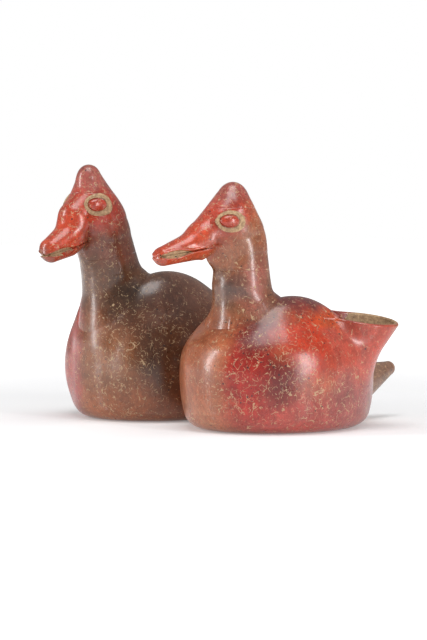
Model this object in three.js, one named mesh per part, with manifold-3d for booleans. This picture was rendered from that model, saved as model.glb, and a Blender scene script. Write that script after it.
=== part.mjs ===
// Double duck effigy vessel in burnished red-slipped earthenware.
// Two plump hollow ducks sit side by side, luted flank to flank, with one flared spout on the near
// duck's left rump. Millimetres, +Z up. Both ducks face -Y, so a duck's left is +X.
// The origin is on the floor, in the middle of the box round the vessel.
// Each duck is worked out in its own frame: the floor point under its body's middle, facing -Y.

import * as THREE from 'three';
import { mergeVertices } from 'three/addons/utils/BufferGeometryUtils.js';
import Module from 'manifold-3d';

const wasm = await Module();
wasm.setup();

// Driving dimensions of the clay, shared by both ducks
const wall = 6;
const floorThickness = 7;
const seamGap = 0.3;
const girthHeight = 44;
const bowlHeight = 60;
const baseRounding = 12;
const bodySquareness = 2.6;
const lobeBlend = 11;
const neckBlend = 14;
const headBlend = 8;
const billBlend = 6;
const ringLift = 0.45;
const boreRadius = 12;
const boreAboveNeck = 2;
const neckSeamDrop = 26;
const neckRootRise = 6;
const neckSkew = 5;

// Driving dimensions of the joint between the two ducks
const flankLap = 9;
const staggerDegrees = 5.2;
const passageRadius = 14;
const passageCover = 4;
const passageReach = 24;
const joinCoilRadius = 6;

// The near duck. Heights with the word rise count from the back, or on the head from the neck's top.
const nearDuck = {
  name: 'near',
  colour: 0x9c3b26,
  body: { halfWidth: 70.5, halfLength: 80, backHeight: 89.5, depth: 76.5 },
  wing: { inset: 16.5, halfWidth: 30, halfLength: 52, halfHeight: 42.5, ahead: 2, rise: 13.5, slope: 13 },
  shoulder: { inset: 12.5, halfWidth: 27, halfLength: 32, halfHeight: 36, ahead: 27, height: 39 },
  breast: { ahead: 31.5, drop: 21, radius: 29 },
  neck: {
    low: { ahead: 36.5, rise: 5, radius: 22.5 },
    middle: { ahead: 36.5, rise: 25.5, radius: 22 },
    high: { ahead: 38, rise: 45.5, radius: 20.5 },
    top: { ahead: 40.5, rise: 60.5, radius: 18 },
  },
  headTurn: -5,
  skull: { ahead: 1, rise: 8, halfWidth: 18, halfLength: 18, halfHeight: 18 },
  crest: {
    width: 0.8,
    from: { ahead: 4, rise: 16, radius: 16 },
    to: { ahead: 6.5, rise: 33, radius: 8.5 },
  },
  brow: {
    width: 1.05,
    from: { ahead: 5, rise: 12, radius: 18.5 },
    to: { ahead: 31, rise: 3, radius: 11.5 },
  },
  bill: {
    width: 1.35,
    from: { ahead: 25, rise: 1, radius: 11.5 },
    to: { ahead: 72, rise: -13.5, radius: 4.5 },
  },
  jaw: {
    width: 1.25,
    from: { ahead: 21, rise: -7.5, radius: 7.5 },
    to: { ahead: 71, rise: -15.5, radius: 4.5 },
  },
  mouth: { corner: { ahead: 37, rise: -8.8 }, tip: { ahead: 79, rise: -13.4 }, open: 2.6 },
  eye: { ahead: 20.5, rise: 12, halfLength: 6.8, halfHeight: 4.6, bulge: 3.6, ringGap: 1, ringRadius: 1.7 },
  crestSeam: 22,
};

// The far duck stands a little taller, and turns its head towards its left
const farDuck = {
  name: 'far',
  colour: 0x6e3524,
  body: { halfWidth: 70.5, halfLength: 77, backHeight: 103.5, depth: 81.5 },
  wing: { inset: 15, halfWidth: 30, halfLength: 58, halfHeight: 49, ahead: 6.5, rise: 14.5, slope: 27 },
  shoulder: { inset: 7.5, halfWidth: 28, halfLength: 36, halfHeight: 42, ahead: 30, height: 42.5 },
  breast: { ahead: 44, drop: 34, radius: 31 },
  neck: {
    low: { ahead: 49, rise: -6.5, radius: 25 },
    middle: { ahead: 51.5, rise: 13.5, radius: 23.5 },
    high: { ahead: 56.5, rise: 40.5, radius: 21 },
    top: { ahead: 61.5, rise: 55, radius: 19 },
  },
  headTurn: 9,
  skull: { ahead: 2, rise: 6.5, halfWidth: 18, halfLength: 20, halfHeight: 19 },
  crest: {
    width: 0.8,
    from: { ahead: 12.5, rise: 20, radius: 15 },
    to: { ahead: 16.5, rise: 39.5, radius: 8 },
  },
  brow: {
    width: 1.05,
    from: { ahead: 15, rise: 12, radius: 19 },
    to: { ahead: 33, rise: 2, radius: 14 },
  },
  bill: {
    width: 1.35,
    from: { ahead: 27, rise: -3, radius: 13.5 },
    to: { ahead: 59.5, rise: -18, radius: 6.5 },
  },
  jaw: {
    width: 1.25,
    from: { ahead: 20, rise: -15.5, radius: 10 },
    to: { ahead: 59.5, rise: -23.5, radius: 5.5 },
  },
  mouth: { corner: { ahead: 32, rise: -16.5 }, tip: { ahead: 67, rise: -22 }, open: 3 },
  eye: { ahead: 23.5, rise: 15, halfLength: 6.8, halfHeight: 4.8, bulge: 3.6, ringGap: 1, ringRadius: 1.8 },
  crestSeam: 24,
};

// The spout on the near duck, placed from the body's side, rear end and back
const spout = {
  mouth: { sideInset: 17.5, endInset: 34.5, drop: 4, radius: 24 },
  root: { sideInset: 36.5, endInset: 59.5, drop: 59.5, radius: 18.5 },
  lip: 4,
  blend: 12,
  mouthTiltSide: 10.5,
  mouthTiltRear: 1.2,
  rootDepth: 24,
  skew: 16,
};

// The small solid tail cone of each duck: its length counts from the body's end, its depth goes inside
const tail = {
  root: { height: 27.5, radius: 18.5 },
  tip: { height: 39.5, radius: 6 },
  length: 48,
  depth: 12,
  blend: 5,
};

// Colours of the slip on the heads, and of the worn clay
const headColour = 0xb2452c;
const wornColour = 0x9a7a5c;

// How finely the clay is drawn
const bodyColumns = 36;
const limbColumns = 24;
const spoutColumns = 28;
const billColumns = 16;
const joinColumns = 44;
const joinRows = 8;
const rayStep = 2;
const rayLimit = 260;
const raySplits = 17;
const nudge = 0.001;
const mergeReach = 1e-3;
const pelletColumns = 16;
const pelletRows = 8;
const ringColumns = 24;
const ringRows = 6;
const tipLean = 45;
const crestLevels = [0, 30, 60];
const nearlyParallel = 0.9;
const cutterSize = 300;

const up = new THREE.Vector3(0, 0, 1);
const radians = THREE.MathUtils.degToRad;

// Clay surfaces: each returns a distance that is negative inside the clay

function smoothJoin(first, second, reach) {
  const near = Math.max(reach - Math.abs(first - second), 0) / reach;
  return Math.min(first, second) - near * near * reach * 0.25;
}

function smoothCut(first, second, reach) {
  return -smoothJoin(-first, -second, reach);
}

function lobe(point, centre, half) {
  const x = point.x - centre.x;
  const y = point.y - centre.y;
  const z = point.z - centre.z;
  const share = Math.hypot(x / half.x, y / half.y, z / half.z);
  const slope = Math.hypot(x / half.x ** 2, y / half.y ** 2, z / half.z ** 2);
  return slope > 0 ? share * (share - 1) / slope : -Math.min(half.x, half.y, half.z);
}

function taper(point, from, to, fromRadius, toRadius) {
  const along = to.clone().sub(from);
  const reach = point.clone().sub(from);
  const share = THREE.MathUtils.clamp(reach.dot(along) / along.lengthSq(), 0, 1);
  const radius = fromRadius + (toRadius - fromRadius) * share;
  return reach.addScaledVector(along, -share).length() - radius;
}

function ahead(distance, height) {
  return new THREE.Vector3(0, -distance, height);
}

// The squat body with its two wing mounds, two shoulders and the full breast, on a flat base
function bodySurface(duck) {
  const { body, wing, shoulder, breast } = duck;
  const slope = radians(wing.slope);
  const wingSide = body.halfWidth - wing.inset - wing.halfWidth;
  const wingHeight = body.backHeight + wing.rise - wing.halfHeight;
  const wingHalf = new THREE.Vector3(wing.halfWidth, wing.halfLength, wing.halfHeight);
  const shoulderSide = body.halfWidth - shoulder.inset - shoulder.halfWidth;
  const shoulderCentre = new THREE.Vector3(shoulderSide, -shoulder.ahead, shoulder.height);
  const shoulderHalf = new THREE.Vector3(shoulder.halfWidth, shoulder.halfLength, shoulder.halfHeight);
  const breastCentre = ahead(breast.ahead, body.backHeight - breast.drop);
  const still = new THREE.Vector3();
  const folded = new THREE.Vector3();
  const tilted = new THREE.Vector3();
  return (point) => {
    const rise = point.z - girthHeight;
    const side = Math.max(Math.abs(point.x), nudge);
    const plan = Math.hypot(side / body.halfWidth, point.y / body.halfLength);
    const level = Math.abs(rise) / (rise > 0 ? body.backHeight - girthHeight : body.depth);
    const share = (plan ** bodySquareness + level ** bodySquareness) ** (1 / bodySquareness);
    const main = Math.hypot(side, point.y, rise) * (1 - 1 / share);
    folded.set(Math.abs(point.x), point.y, point.z);
    const back = point.y + wing.ahead;
    const lift = point.z - wingHeight;
    tilted.set(folded.x - wingSide, back * Math.cos(slope) - lift * Math.sin(slope),
      back * Math.sin(slope) + lift * Math.cos(slope));
    const wings = lobe(tilted, still, wingHalf);
    const shoulders = lobe(folded, shoulderCentre, shoulderHalf);
    const breasts = point.distanceTo(breastCentre) - breast.radius;
    const plump = smoothJoin(smoothJoin(smoothJoin(main, wings, lobeBlend), shoulders, lobeBlend),
      breasts, lobeBlend);
    return smoothCut(plump, -point.z, baseRounding);
  };
}

function neckPoint(duck, station) {
  return ahead(station.ahead, duck.body.backHeight + station.rise);
}

function neckSurface(duck) {
  const { low, middle, high, top } = duck.neck;
  const stations = [low, middle, high, top];
  const points = stations.map((station) => neckPoint(duck, station));
  return (point) => {
    let nearest = Infinity;
    for (let i = 0; i + 1 < stations.length; i++) {
      const piece = taper(point, points[i], points[i + 1], stations[i].radius, stations[i + 1].radius);
      nearest = Math.min(nearest, piece);
    }
    return nearest;
  };
}

// The head's frame turns about the upright line through the neck's top
function fromHead(duck, side, forward, rise) {
  const turn = radians(duck.headTurn);
  const top = neckPoint(duck, duck.neck.top);
  const x = side * Math.cos(turn) + forward * Math.sin(turn);
  const y = side * Math.sin(turn) - forward * Math.cos(turn);
  return new THREE.Vector3(top.x + x, top.y + y, top.z + rise);
}

function intoHead(duck, point, target) {
  const turn = radians(duck.headTurn);
  const top = neckPoint(duck, duck.neck.top);
  const x = point.x - top.x;
  const y = point.y - top.y;
  return target.set(x * Math.cos(turn) + y * Math.sin(turn),
    -x * Math.sin(turn) + y * Math.cos(turn), point.z - top.z);
}

// A tapered roll of clay on the head: width is its breadth over its height
function headRoll(roll) {
  const from = ahead(roll.from.ahead, roll.from.rise);
  const to = ahead(roll.to.ahead, roll.to.rise);
  const narrowed = new THREE.Vector3();
  return (point) => {
    narrowed.set(point.x / roll.width, point.y, point.z);
    return taper(narrowed, from, to, roll.from.radius, roll.to.radius);
  };
}

function skullSurface(duck) {
  const { skull } = duck;
  const centre = ahead(skull.ahead, skull.rise);
  const half = new THREE.Vector3(skull.halfWidth, skull.halfLength, skull.halfHeight);
  const crest = headRoll(duck.crest);
  const brow = headRoll(duck.brow);
  const neck = neckSurface(duck);
  const turned = new THREE.Vector3();
  return (point) => {
    intoHead(duck, point, turned);
    const head = smoothJoin(smoothJoin(lobe(turned, centre, half), crest(turned), headBlend),
      brow(turned), headBlend);
    return smoothJoin(head, neck(point), headBlend);
  };
}

function billSurface(duck) {
  const skull = sunk(skullSurface(duck));
  const bill = headRoll(duck.bill);
  const jaw = headRoll(duck.jaw);
  const turned = new THREE.Vector3();
  return (point) => {
    intoHead(duck, point, turned);
    return smoothJoin(skull(point), smoothJoin(bill(turned), jaw(turned), billBlend), billBlend);
  };
}

function sunk(surface) {
  return (point) => surface(point) + skirtDive;
}

function joined(first, second, reach) {
  return (point) => smoothJoin(first(point), second(point), reach);
}

// Walks along a ray to the first place where the surface passes the offset
function meet(surface, origin, direction, offset = 0) {
  const probe = new THREE.Vector3();
  const depth = (distance) => surface(probe.copy(origin).addScaledVector(direction, distance)) - offset;
  const inside = depth(0) < 0;
  let low = 0;
  let high = rayStep;
  while (depth(high) < 0 === inside && high < rayLimit) {
    low = high;
    high += rayStep;
  }
  for (let split = 0; split < raySplits; split++) {
    const middle = (low + high) / 2;
    if (depth(middle) < 0 === inside) low = middle;
    else high = middle;
  }
  return origin.clone().addScaledVector(direction, (low + high) / 2);
}

// Closed meshes and the cuts between them

// Draws one closed body from rings of points: it ends in a point at its first and last ring, or,
// where it loops, its last ring joins its first
function moulded(rings, loops = false) {
  const columns = Math.max(...rings.map((ring) => ring.length));
  const profile = rings.map((ring, row) => new THREE.Vector2(1 + row, row));
  if (loops) profile.push(profile[0].clone());
  const geometry = new THREE.LatheGeometry(profile, columns);
  const place = geometry.attributes.position;
  for (let column = 0; column <= columns; column++) {
    profile.forEach((_, row) => {
      const ring = rings[row % rings.length];
      const point = ring[ring.length > 1 ? column % columns : 0];
      place.setXYZ(column * profile.length + row, point.x, point.y, point.z);
    });
  }
  return facingOut(geometry);
}

function facingOut(geometry) {
  geometry.deleteAttribute('normal');
  geometry.deleteAttribute('uv');
  const closed = mergeVertices(geometry, mergeReach);
  const index = closed.index.array;
  const place = closed.attributes.position;
  const corners = [new THREE.Vector3(), new THREE.Vector3(), new THREE.Vector3()];
  const triangles = [];
  let volume = 0;
  for (let i = 0; i < index.length; i += 3) {
    const [a, b, c] = index.slice(i, i + 3);
    if (a === b || b === c || c === a) continue;
    triangles.push(a, b, c);
    [a, b, c].forEach((vertex, corner) => corners[corner].fromBufferAttribute(place, vertex));
    volume += corners[0].dot(corners[1].cross(corners[2]));
  }
  closed.setIndex(volume < 0 ? triangles.reverse() : triangles);
  return closed;
}

function solid(geometry) {
  const place = geometry.attributes.position;
  return new wasm.Manifold(new wasm.Mesh({
    numProp: 3,
    vertProperties: new Float32Array(place.array),
    triVerts: new Uint32Array(geometry.index.array),
  }));
}

function geometryOf(body) {
  const mesh = body.getMesh();
  const geometry = new THREE.BufferGeometry();
  geometry.setAttribute('position', new THREE.BufferAttribute(new Float32Array(mesh.vertProperties), 3));
  geometry.setIndex(new THREE.BufferAttribute(new Uint32Array(mesh.triVerts), 1));
  return geometry;
}

// A cut can leave crumbs where two faceted surfaces graze: only the piece itself is kept
function withoutCrumbs(body) {
  const pieces = body.decompose();
  return pieces.reduce((largest, piece) => (piece.volume() > largest.volume() ? piece : largest));
}

function boxSolid(size, centre, rotation) {
  const geometry = new THREE.BoxGeometry(size.x, size.y, size.z);
  if (rotation) geometry.applyQuaternion(rotation);
  geometry.translate(centre.x, centre.y, centre.z);
  return solid(facingOut(geometry));
}

// A straight round bore, or a cone, from a point along an axis
function barrel(from, axis, length, fromRadius, toRadius, columns) {
  const geometry = new THREE.CylinderGeometry(toRadius, fromRadius, length, columns);
  geometry.applyQuaternion(new THREE.Quaternion().setFromUnitVectors(new THREE.Vector3(0, 1, 0), axis));
  const middle = from.clone().addScaledVector(axis, length / 2);
  geometry.translate(middle.x, middle.y, middle.z);
  return solid(facingOut(geometry));
}

function ring(count, place) {
  return Array.from({ length: count }, (_, column) => place(column / count * Math.PI * 2));
}

// Rows of rays from the body's middle: from the base's centre up to the girth, and from the bowl's
// rim over the back
const lowerElevations = [-90, -68, -50, -41, -35, -29, -21, -11, 0];
const upperElevations = [8, 16, 25, 35, 46, 58, 72, 90];

function bodyRing(surface, height, elevation, offset) {
  const origin = new THREE.Vector3(0, 0, height);
  const level = Math.cos(radians(elevation));
  const rise = Math.sin(radians(elevation));
  const place = (turn) => {
    const direction = new THREE.Vector3(Math.cos(turn) * level, Math.sin(turn) * level, rise);
    return meet(surface, origin, direction, offset);
  };
  return Math.abs(elevation) === 90 ? [place(0)] : ring(bodyColumns, place);
}

function lowerRings(surface, offset = 0) {
  return lowerElevations.map((elevation) => bodyRing(surface, girthHeight, elevation, offset));
}

function upperRings(surface, offset = 0) {
  return upperElevations.map((elevation) => bodyRing(surface, bowlHeight, elevation, offset));
}

// The whole body as one lump, grown by the seam gap: limbs are cut back from it
function bodyCore(duck) {
  const surface = bodySurface(duck);
  return solid(moulded([
    ...lowerRings(surface, seamGap),
    bodyRing(surface, bowlHeight, 0, seamGap),
    ...upperRings(surface, seamGap),
  ]));
}

// The chamber: one wall in from the outside, a floor's thickness up, and a wall clear of the joint
function chamberSurface(duck, joint) {
  const outside = bodySurface(duck);
  return (point) => Math.max(outside(point) + wall, floorThickness - point.z,
    joint.normal.dot(point) - joint.distance + wall);
}

// The flat joint lies across the line between the two ducks' middles
function jointOf(duck, towards) {
  const middle = new THREE.Vector3(0, 0, girthHeight);
  const flank = meet(bodySurface(duck), middle, towards).sub(middle).length();
  return { normal: towards, distance: flank - flankLap / 2 };
}

function beyondJoint(joint) {
  const depth = joint.distance;
  const centre = joint.normal.clone().multiplyScalar(joint.distance - seamGap / 2 + depth / 2);
  const turn = new THREE.Quaternion().setFromUnitVectors(new THREE.Vector3(1, 0, 0), joint.normal);
  return boxSolid(new THREE.Vector3(depth, cutterSize, cutterSize), centre, turn);
}

// The passage stays whole under the bowl's rim, with a little clay over it
function passageSolid(joint) {
  const height = bowlHeight - passageCover - passageRadius;
  const from = joint.normal.clone().multiplyScalar(joint.distance - passageReach).setZ(height);
  return barrel(from, joint.normal, passageReach * 2, passageRadius, passageRadius, limbColumns);
}

// The lower bowl: base, rounded edge and girth outside, rim, then the chamber's wall and floor
function bodyBowl(duck, joint, openings) {
  const outside = bodySurface(duck);
  const inside = chamberSurface(duck, joint);
  const shell = moulded([
    ...lowerRings(outside),
    bodyRing(outside, bowlHeight, 0, 0),
    bodyRing(inside, bowlHeight, 0, 0),
    ...lowerRings(inside).reverse(),
  ]);
  return openings.reduce((body, opening) => body.subtract(opening), solid(shell));
}

// The upper shell with the back, wings and shoulders closes the chamber over the bowl
function bodyUpper(duck, joint, openings) {
  const outside = bodySurface(duck);
  const inside = chamberSurface(duck, joint);
  const shell = moulded([
    ...upperRings(inside).reverse(),
    bodyRing(inside, bowlHeight + seamGap, 0, 0),
    bodyRing(outside, bowlHeight + seamGap, 0, 0),
    ...upperRings(outside),
  ]);
  return openings.reduce((body, opening) => body.subtract(opening), solid(shell));
}

// A limb stands on the clay behind it. Its rings are cast outwards from its axis, from the free end to
// the root, and lie deeper on the side named deeper. Past the root they fan out from just inside the
// root's edge on to the clay, which is taken a little low, so that the skirt dives under its surface.
const limbFan = [15, 30, 45, 60, 76];
const shortFan = [20, 42, 62];
const fanStart = 0.8;
const skirtDive = 0.8;

function limb(shape) {
  const { surface, from, root, inside, rows, columns } = shape;
  const { fan = limbFan, deeper = up, skew = 0, rounded = false } = shape;
  const axis = root.clone().sub(from).normalize();
  const aside = Math.abs(axis.dot(deeper)) > nearlyParallel ? ahead(1, 0) : deeper;
  const across = aside.clone().addScaledVector(axis, -aside.dot(axis)).normalize();
  const round = new THREE.Vector3().crossVectors(axis, across);
  const outward = (turn) => across.clone().multiplyScalar(Math.cos(turn))
    .addScaledVector(round, Math.sin(turn));
  const leaning = (turn, degrees) => outward(turn).multiplyScalar(Math.cos(radians(degrees)))
    .addScaledVector(axis, Math.sin(radians(degrees)));
  const centre = (turn, share) => from.clone().lerp(root, share)
    .addScaledVector(axis, skew * Math.cos(turn) * share);
  const rings = [];
  for (let row = 0; row <= rows; row++) {
    rings.push(ring(columns, (turn) => meet(surface, centre(turn, row / rows), outward(turn))));
  }
  const edge = rings[rows];
  for (const lean of fan) {
    rings.push(ring(columns, (turn) => {
      const column = Math.round(turn / (Math.PI * 2) * columns) % columns;
      const start = centre(turn, 1).lerp(edge[column], fanStart);
      return meet(surface, start, leaning(turn, lean));
    }));
  }
  rings.push([inside]);
  if (rounded) {
    rings.unshift(ring(columns, (turn) => meet(surface, from, leaning(turn, -tipLean))));
    rings.unshift([meet(surface, from, axis.clone().negate())]);
  } else {
    rings.unshift([from]);
  }
  return solid(moulded(rings));
}

// The neck stands on the back, open below into the chamber and above into the head
function neckAxis(duck) {
  const { low, middle, high, top } = duck.neck;
  const foot = neckPoint(duck, low);
  const rise = top.rise - neckSeamDrop;
  const lean = THREE.MathUtils.mapLinear(rise, middle.rise, high.rise, middle.ahead, high.ahead);
  const seam = ahead(lean, duck.body.backHeight + rise);
  const axis = seam.clone().sub(foot).normalize();
  const inside = foot.clone().addScaledVector(axis, (bowlHeight - foot.z) / axis.z);
  return { foot, seam, axis, inside };
}

function neckBore(duck) {
  const { axis, inside } = neckAxis(duck);
  const top = neckPoint(duck, duck.neck.top);
  const length = (top.z + boreAboveNeck - inside.z) / axis.z;
  return barrel(inside, axis, length, boreRadius, boreRadius, limbColumns);
}

// The neck's root ring stands just clear of the highest clay round its foot
function neckRoot(duck) {
  const { foot, seam, axis } = neckAxis(duck);
  const body = bodySurface(duck);
  const reach = duck.neck.low.radius + wall / 2;
  const heights = ring(limbColumns, (turn) => {
    const above = new THREE.Vector3(Math.cos(turn) * reach, foot.y + Math.sin(turn) * reach, seam.z);
    return meet(body, above, up.clone().negate()).z;
  });
  const height = Math.max(...heights) + neckRootRise;
  return foot.clone().addScaledVector(axis, (height - foot.z) / axis.z);
}

function neckSolid(duck, core, bore) {
  const { seam, inside } = neckAxis(duck);
  const surface = joined(sunk(bodySurface(duck)), skullSurface(duck), neckBlend);
  const neck = limb({ surface, from: seam, root: neckRoot(duck), inside, rows: 3, columns: limbColumns,
    deeper: ahead(1, 0), skew: neckSkew });
  return withoutCrumbs(neck.subtract(core).subtract(bore));
}

// Rings round the head: one square to the neck at its seam, then level ones up to the crest
function headRings(duck, offset) {
  const surface = skullSurface(duck);
  const { seam, axis } = neckAxis(duck);
  const { skull, crest, crestSeam } = duck;
  const start = seam.clone().addScaledVector(axis, seamGap - offset);
  const across = new THREE.Vector3(1, 0, 0);
  const round = new THREE.Vector3().crossVectors(axis, across);
  const square = ring(limbColumns, (turn) => meet(surface, start, across.clone()
    .multiplyScalar(Math.cos(turn)).addScaledVector(round, Math.sin(turn)), offset));
  const levels = [
    neckPoint(duck, duck.neck.top).add(seam).multiplyScalar(0.5),
    fromHead(duck, 0, skull.ahead, skull.rise - skull.halfHeight / 2),
    fromHead(duck, 0, skull.ahead, skull.rise),
    fromHead(duck, 0, (skull.ahead + crest.from.ahead) / 2, skull.rise + skull.halfHeight / 2),
    fromHead(duck, 0, crest.from.ahead, crestSeam),
  ];
  const rings = levels.map((centre) => levelRing(surface, centre, 0, offset));
  return { start, rings: [square, ...rings], top: levels[levels.length - 1] };
}

function levelRing(surface, centre, elevation, offset) {
  const level = Math.cos(radians(elevation));
  const rise = Math.sin(radians(elevation));
  return ring(limbColumns, (turn) => meet(surface, centre,
    new THREE.Vector3(Math.cos(turn) * level, Math.sin(turn) * level, rise), offset));
}

function crestRings(duck, offset) {
  const surface = skullSurface(duck);
  const { to } = duck.crest;
  const tip = fromHead(duck, 0, to.ahead, to.rise);
  return [
    ...crestLevels.map((elevation) => levelRing(surface, tip, elevation, offset)),
    [meet(surface, tip, up, offset)],
  ];
}

// The whole head with its crest as one lump, grown by the seam gap: bill and eyes are cut back from it
function headCore(duck) {
  const { start, rings } = headRings(duck, seamGap);
  return solid(moulded([[start], ...rings, ...crestRings(duck, seamGap)]));
}

function headSolid(duck, bore) {
  const { start, rings, top } = headRings(duck, 0);
  return solid(moulded([[start], ...rings, [top]])).subtract(bore);
}

function crestSolid(duck) {
  const surface = skullSurface(duck);
  const base = fromHead(duck, 0, duck.crest.from.ahead, duck.crestSeam + seamGap);
  return solid(moulded([[base], levelRing(surface, base, 0, 0), ...crestRings(duck, 0)]));
}

// The slit between the two halves of the bill, drawn from the side and cut straight across
function mouthSolid(duck, setBack, drop) {
  const { corner, tip } = duck.mouth;
  const beyond = tip.ahead + cutterSize;
  const below = tip.rise - cutterSize;
  const outline = new THREE.Shape([
    new THREE.Vector2(corner.ahead + setBack, corner.rise - setBack),
    new THREE.Vector2(tip.ahead, tip.rise - drop),
    new THREE.Vector2(beyond, tip.rise - drop),
    new THREE.Vector2(beyond, below),
    new THREE.Vector2(corner.ahead + setBack, below),
  ]);
  const geometry = new THREE.ExtrudeGeometry(outline, { depth: cutterSize, bevelEnabled: false });
  geometry.translate(0, 0, -cutterSize / 2);
  const origin = fromHead(duck, 0, 0, 0);
  const forward = fromHead(duck, 0, 1, 0).sub(origin);
  geometry.applyMatrix4(new THREE.Matrix4()
    .makeBasis(forward, up, new THREE.Vector3().crossVectors(forward, up)).setPosition(origin));
  return solid(facingOut(geometry));
}

// The bill's root is cut clear of both eyes
function billSolids(duck, core) {
  const { bill, jaw, brow, skull } = duck;
  const tipAhead = (bill.to.ahead + jaw.to.ahead) / 2;
  const tipRise = (bill.to.rise + jaw.to.rise) / 2;
  const startAhead = (bill.from.ahead + jaw.from.ahead) / 2;
  const startRise = (bill.from.rise + jaw.from.rise) / 2;
  const rootAhead = brow.to.ahead + brow.to.radius;
  const rootRise = THREE.MathUtils.mapLinear(rootAhead, startAhead, tipAhead, startRise, tipRise);
  const whole = limb({ surface: billSurface(duck), from: fromHead(duck, 0, tipAhead, tipRise),
    root: fromHead(duck, 0, rootAhead, rootRise), inside: fromHead(duck, 0, skull.ahead, startRise),
    rows: 4, columns: billColumns, fan: shortFan, rounded: true });
  const clear = whole.subtract(core).subtract(eyeSocket(duck, 1)).subtract(eyeSocket(duck, -1));
  const upper = clear.subtract(mouthSolid(duck, 0, 0));
  const lower = clear.intersect(mouthSolid(duck, seamGap, duck.mouth.open));
  return { upper: withoutCrumbs(upper), lower: withoutCrumbs(lower) };
}

// Eyes: a pellet of clay and the coil pressed round it, both laid on the curve of the cheek along
// rays that fan out from under the eye, so that each ray starts inside the head
function onCheek(duck, side, geometry) {
  const surface = skullSurface(duck);
  const { eye } = duck;
  const origin = fromHead(duck, 0, 0, 0);
  const outward = fromHead(duck, side, 0, 0).sub(origin);
  const forward = fromHead(duck, 0, 1, 0).sub(origin);
  const under = fromHead(duck, 0, eye.ahead, eye.rise);
  const depth = meet(surface, under, outward).distanceTo(under);
  const place = geometry.attributes.position;
  for (let i = 0; i < place.count; i++) {
    const toward = outward.clone().multiplyScalar(depth).addScaledVector(forward, place.getX(i))
      .addScaledVector(up, place.getY(i)).normalize();
    const laid = meet(surface, under, toward).addScaledVector(toward, place.getZ(i));
    place.setXYZ(i, laid.x, laid.y, laid.z);
  }
  return solid(facingOut(geometry));
}

// The ground that a whole eye covers, a seam gap wider all round
function eyeSocket(duck, side) {
  const { halfLength, halfHeight, ringGap, ringRadius } = duck.eye;
  const coil = ringRadius * 2;
  const reach = ringGap + coil + seamGap;
  const geometry = new THREE.CylinderGeometry(1, 1, coil * 2, ringColumns);
  geometry.rotateX(Math.PI / 2);
  geometry.scale(halfLength + reach, halfHeight + reach, 1);
  return onCheek(duck, side, geometry);
}

function eyePellet(duck, side, core) {
  const { halfLength, halfHeight, bulge } = duck.eye;
  const geometry = new THREE.SphereGeometry(1, pelletColumns, pelletRows);
  geometry.scale(halfLength, halfHeight, bulge);
  return withoutCrumbs(onCheek(duck, side, geometry).subtract(core));
}

function eyeRing(duck, side, core) {
  const { halfLength, halfHeight, ringGap, ringRadius } = duck.eye;
  const middle = ringGap + ringRadius;
  const geometry = new THREE.TorusGeometry(halfLength + middle, ringRadius, ringRows, ringColumns);
  const place = geometry.attributes.position;
  for (let i = 0; i < place.count; i++) {
    const reach = Math.hypot(place.getX(i), place.getY(i));
    const lower = (halfLength - halfHeight) * place.getY(i) / reach;
    place.setXYZ(i, place.getX(i), place.getY(i) - lower, place.getZ(i) + ringRadius * ringLift);
  }
  return withoutCrumbs(onCheek(duck, side, geometry).subtract(core));
}

// The spout: a flared tube on the near duck's left rump, its mouth cut nearly level
function spoutEnd(end) {
  const { body } = nearDuck;
  return new THREE.Vector3(body.halfWidth - end.sideInset, body.halfLength - end.endInset,
    body.backHeight - end.drop);
}

function spoutAxis() {
  const mouth = spoutEnd(spout.mouth);
  const root = spoutEnd(spout.root);
  const axis = mouth.clone().sub(root).normalize();
  const past = mouth.clone().addScaledVector(axis, spout.mouth.radius);
  const flare = (spout.mouth.radius - spout.root.radius) / mouth.distanceTo(root);
  return { mouth, root, past, axis, flare };
}

function spoutSurface() {
  const { root, past, flare } = spoutAxis();
  const pastRadius = spout.root.radius + flare * past.distanceTo(root);
  const tube = (point) => taper(point, root, past, spout.root.radius, pastRadius);
  return joined(sunk(bodySurface(nearDuck)), tube, spout.blend);
}

function spoutBore() {
  const { root, past, axis, flare } = spoutAxis();
  const length = past.distanceTo(root) * 2;
  const mouthRadius = spout.mouth.radius - spout.lip;
  const rootRadius = spout.root.radius - spout.lip;
  const slope = (mouthRadius - rootRadius) / (spout.mouth.radius - spout.root.radius) * flare;
  return barrel(root, axis, length, rootRadius, rootRadius + slope * length, spoutColumns);
}

function aboveMouth() {
  const { mouth } = spoutAxis();
  const tilt = new THREE.Quaternion().setFromEuler(
    new THREE.Euler(-radians(spout.mouthTiltRear), radians(spout.mouthTiltSide), 0));
  const lift = new THREE.Vector3(0, 0, cutterSize / 2).applyQuaternion(tilt);
  return boxSolid(new THREE.Vector3(cutterSize, cutterSize, cutterSize), mouth.clone().add(lift), tilt);
}

function spoutSolid(core, bore) {
  const { mouth, root, past, axis } = spoutAxis();
  const below = mouth.clone().addScaledVector(axis, -spout.rootDepth);
  const tube = limb({ surface: spoutSurface(), from: past, root: below, inside: root, rows: 4,
    columns: spoutColumns, deeper: axis.clone().setZ(0).normalize(), skew: spout.skew });
  return withoutCrumbs(tube.subtract(aboveMouth()).subtract(core).subtract(bore));
}

// The small solid tail cone behind each duck
function tailSolid(duck, core) {
  const { body } = duck;
  const { root, tip, length, depth, blend } = tail;
  const inside = new THREE.Vector3(0, body.halfLength - depth, root.height);
  const start = new THREE.Vector3(0, body.halfLength, root.height);
  const end = new THREE.Vector3(0, body.halfLength + length - tip.radius, tip.height);
  const cone = (point) => taper(point, start, end, root.radius, tip.radius);
  const surface = joined(sunk(bodySurface(duck)), cone, blend);
  const rootShare = 1 - wall / (end.y - start.y);
  const piece = limb({ surface, from: end, root: end.clone().lerp(start, rootShare), inside, rows: 2,
    columns: billColumns, rounded: true });
  return withoutCrumbs(piece.subtract(core));
}

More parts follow.
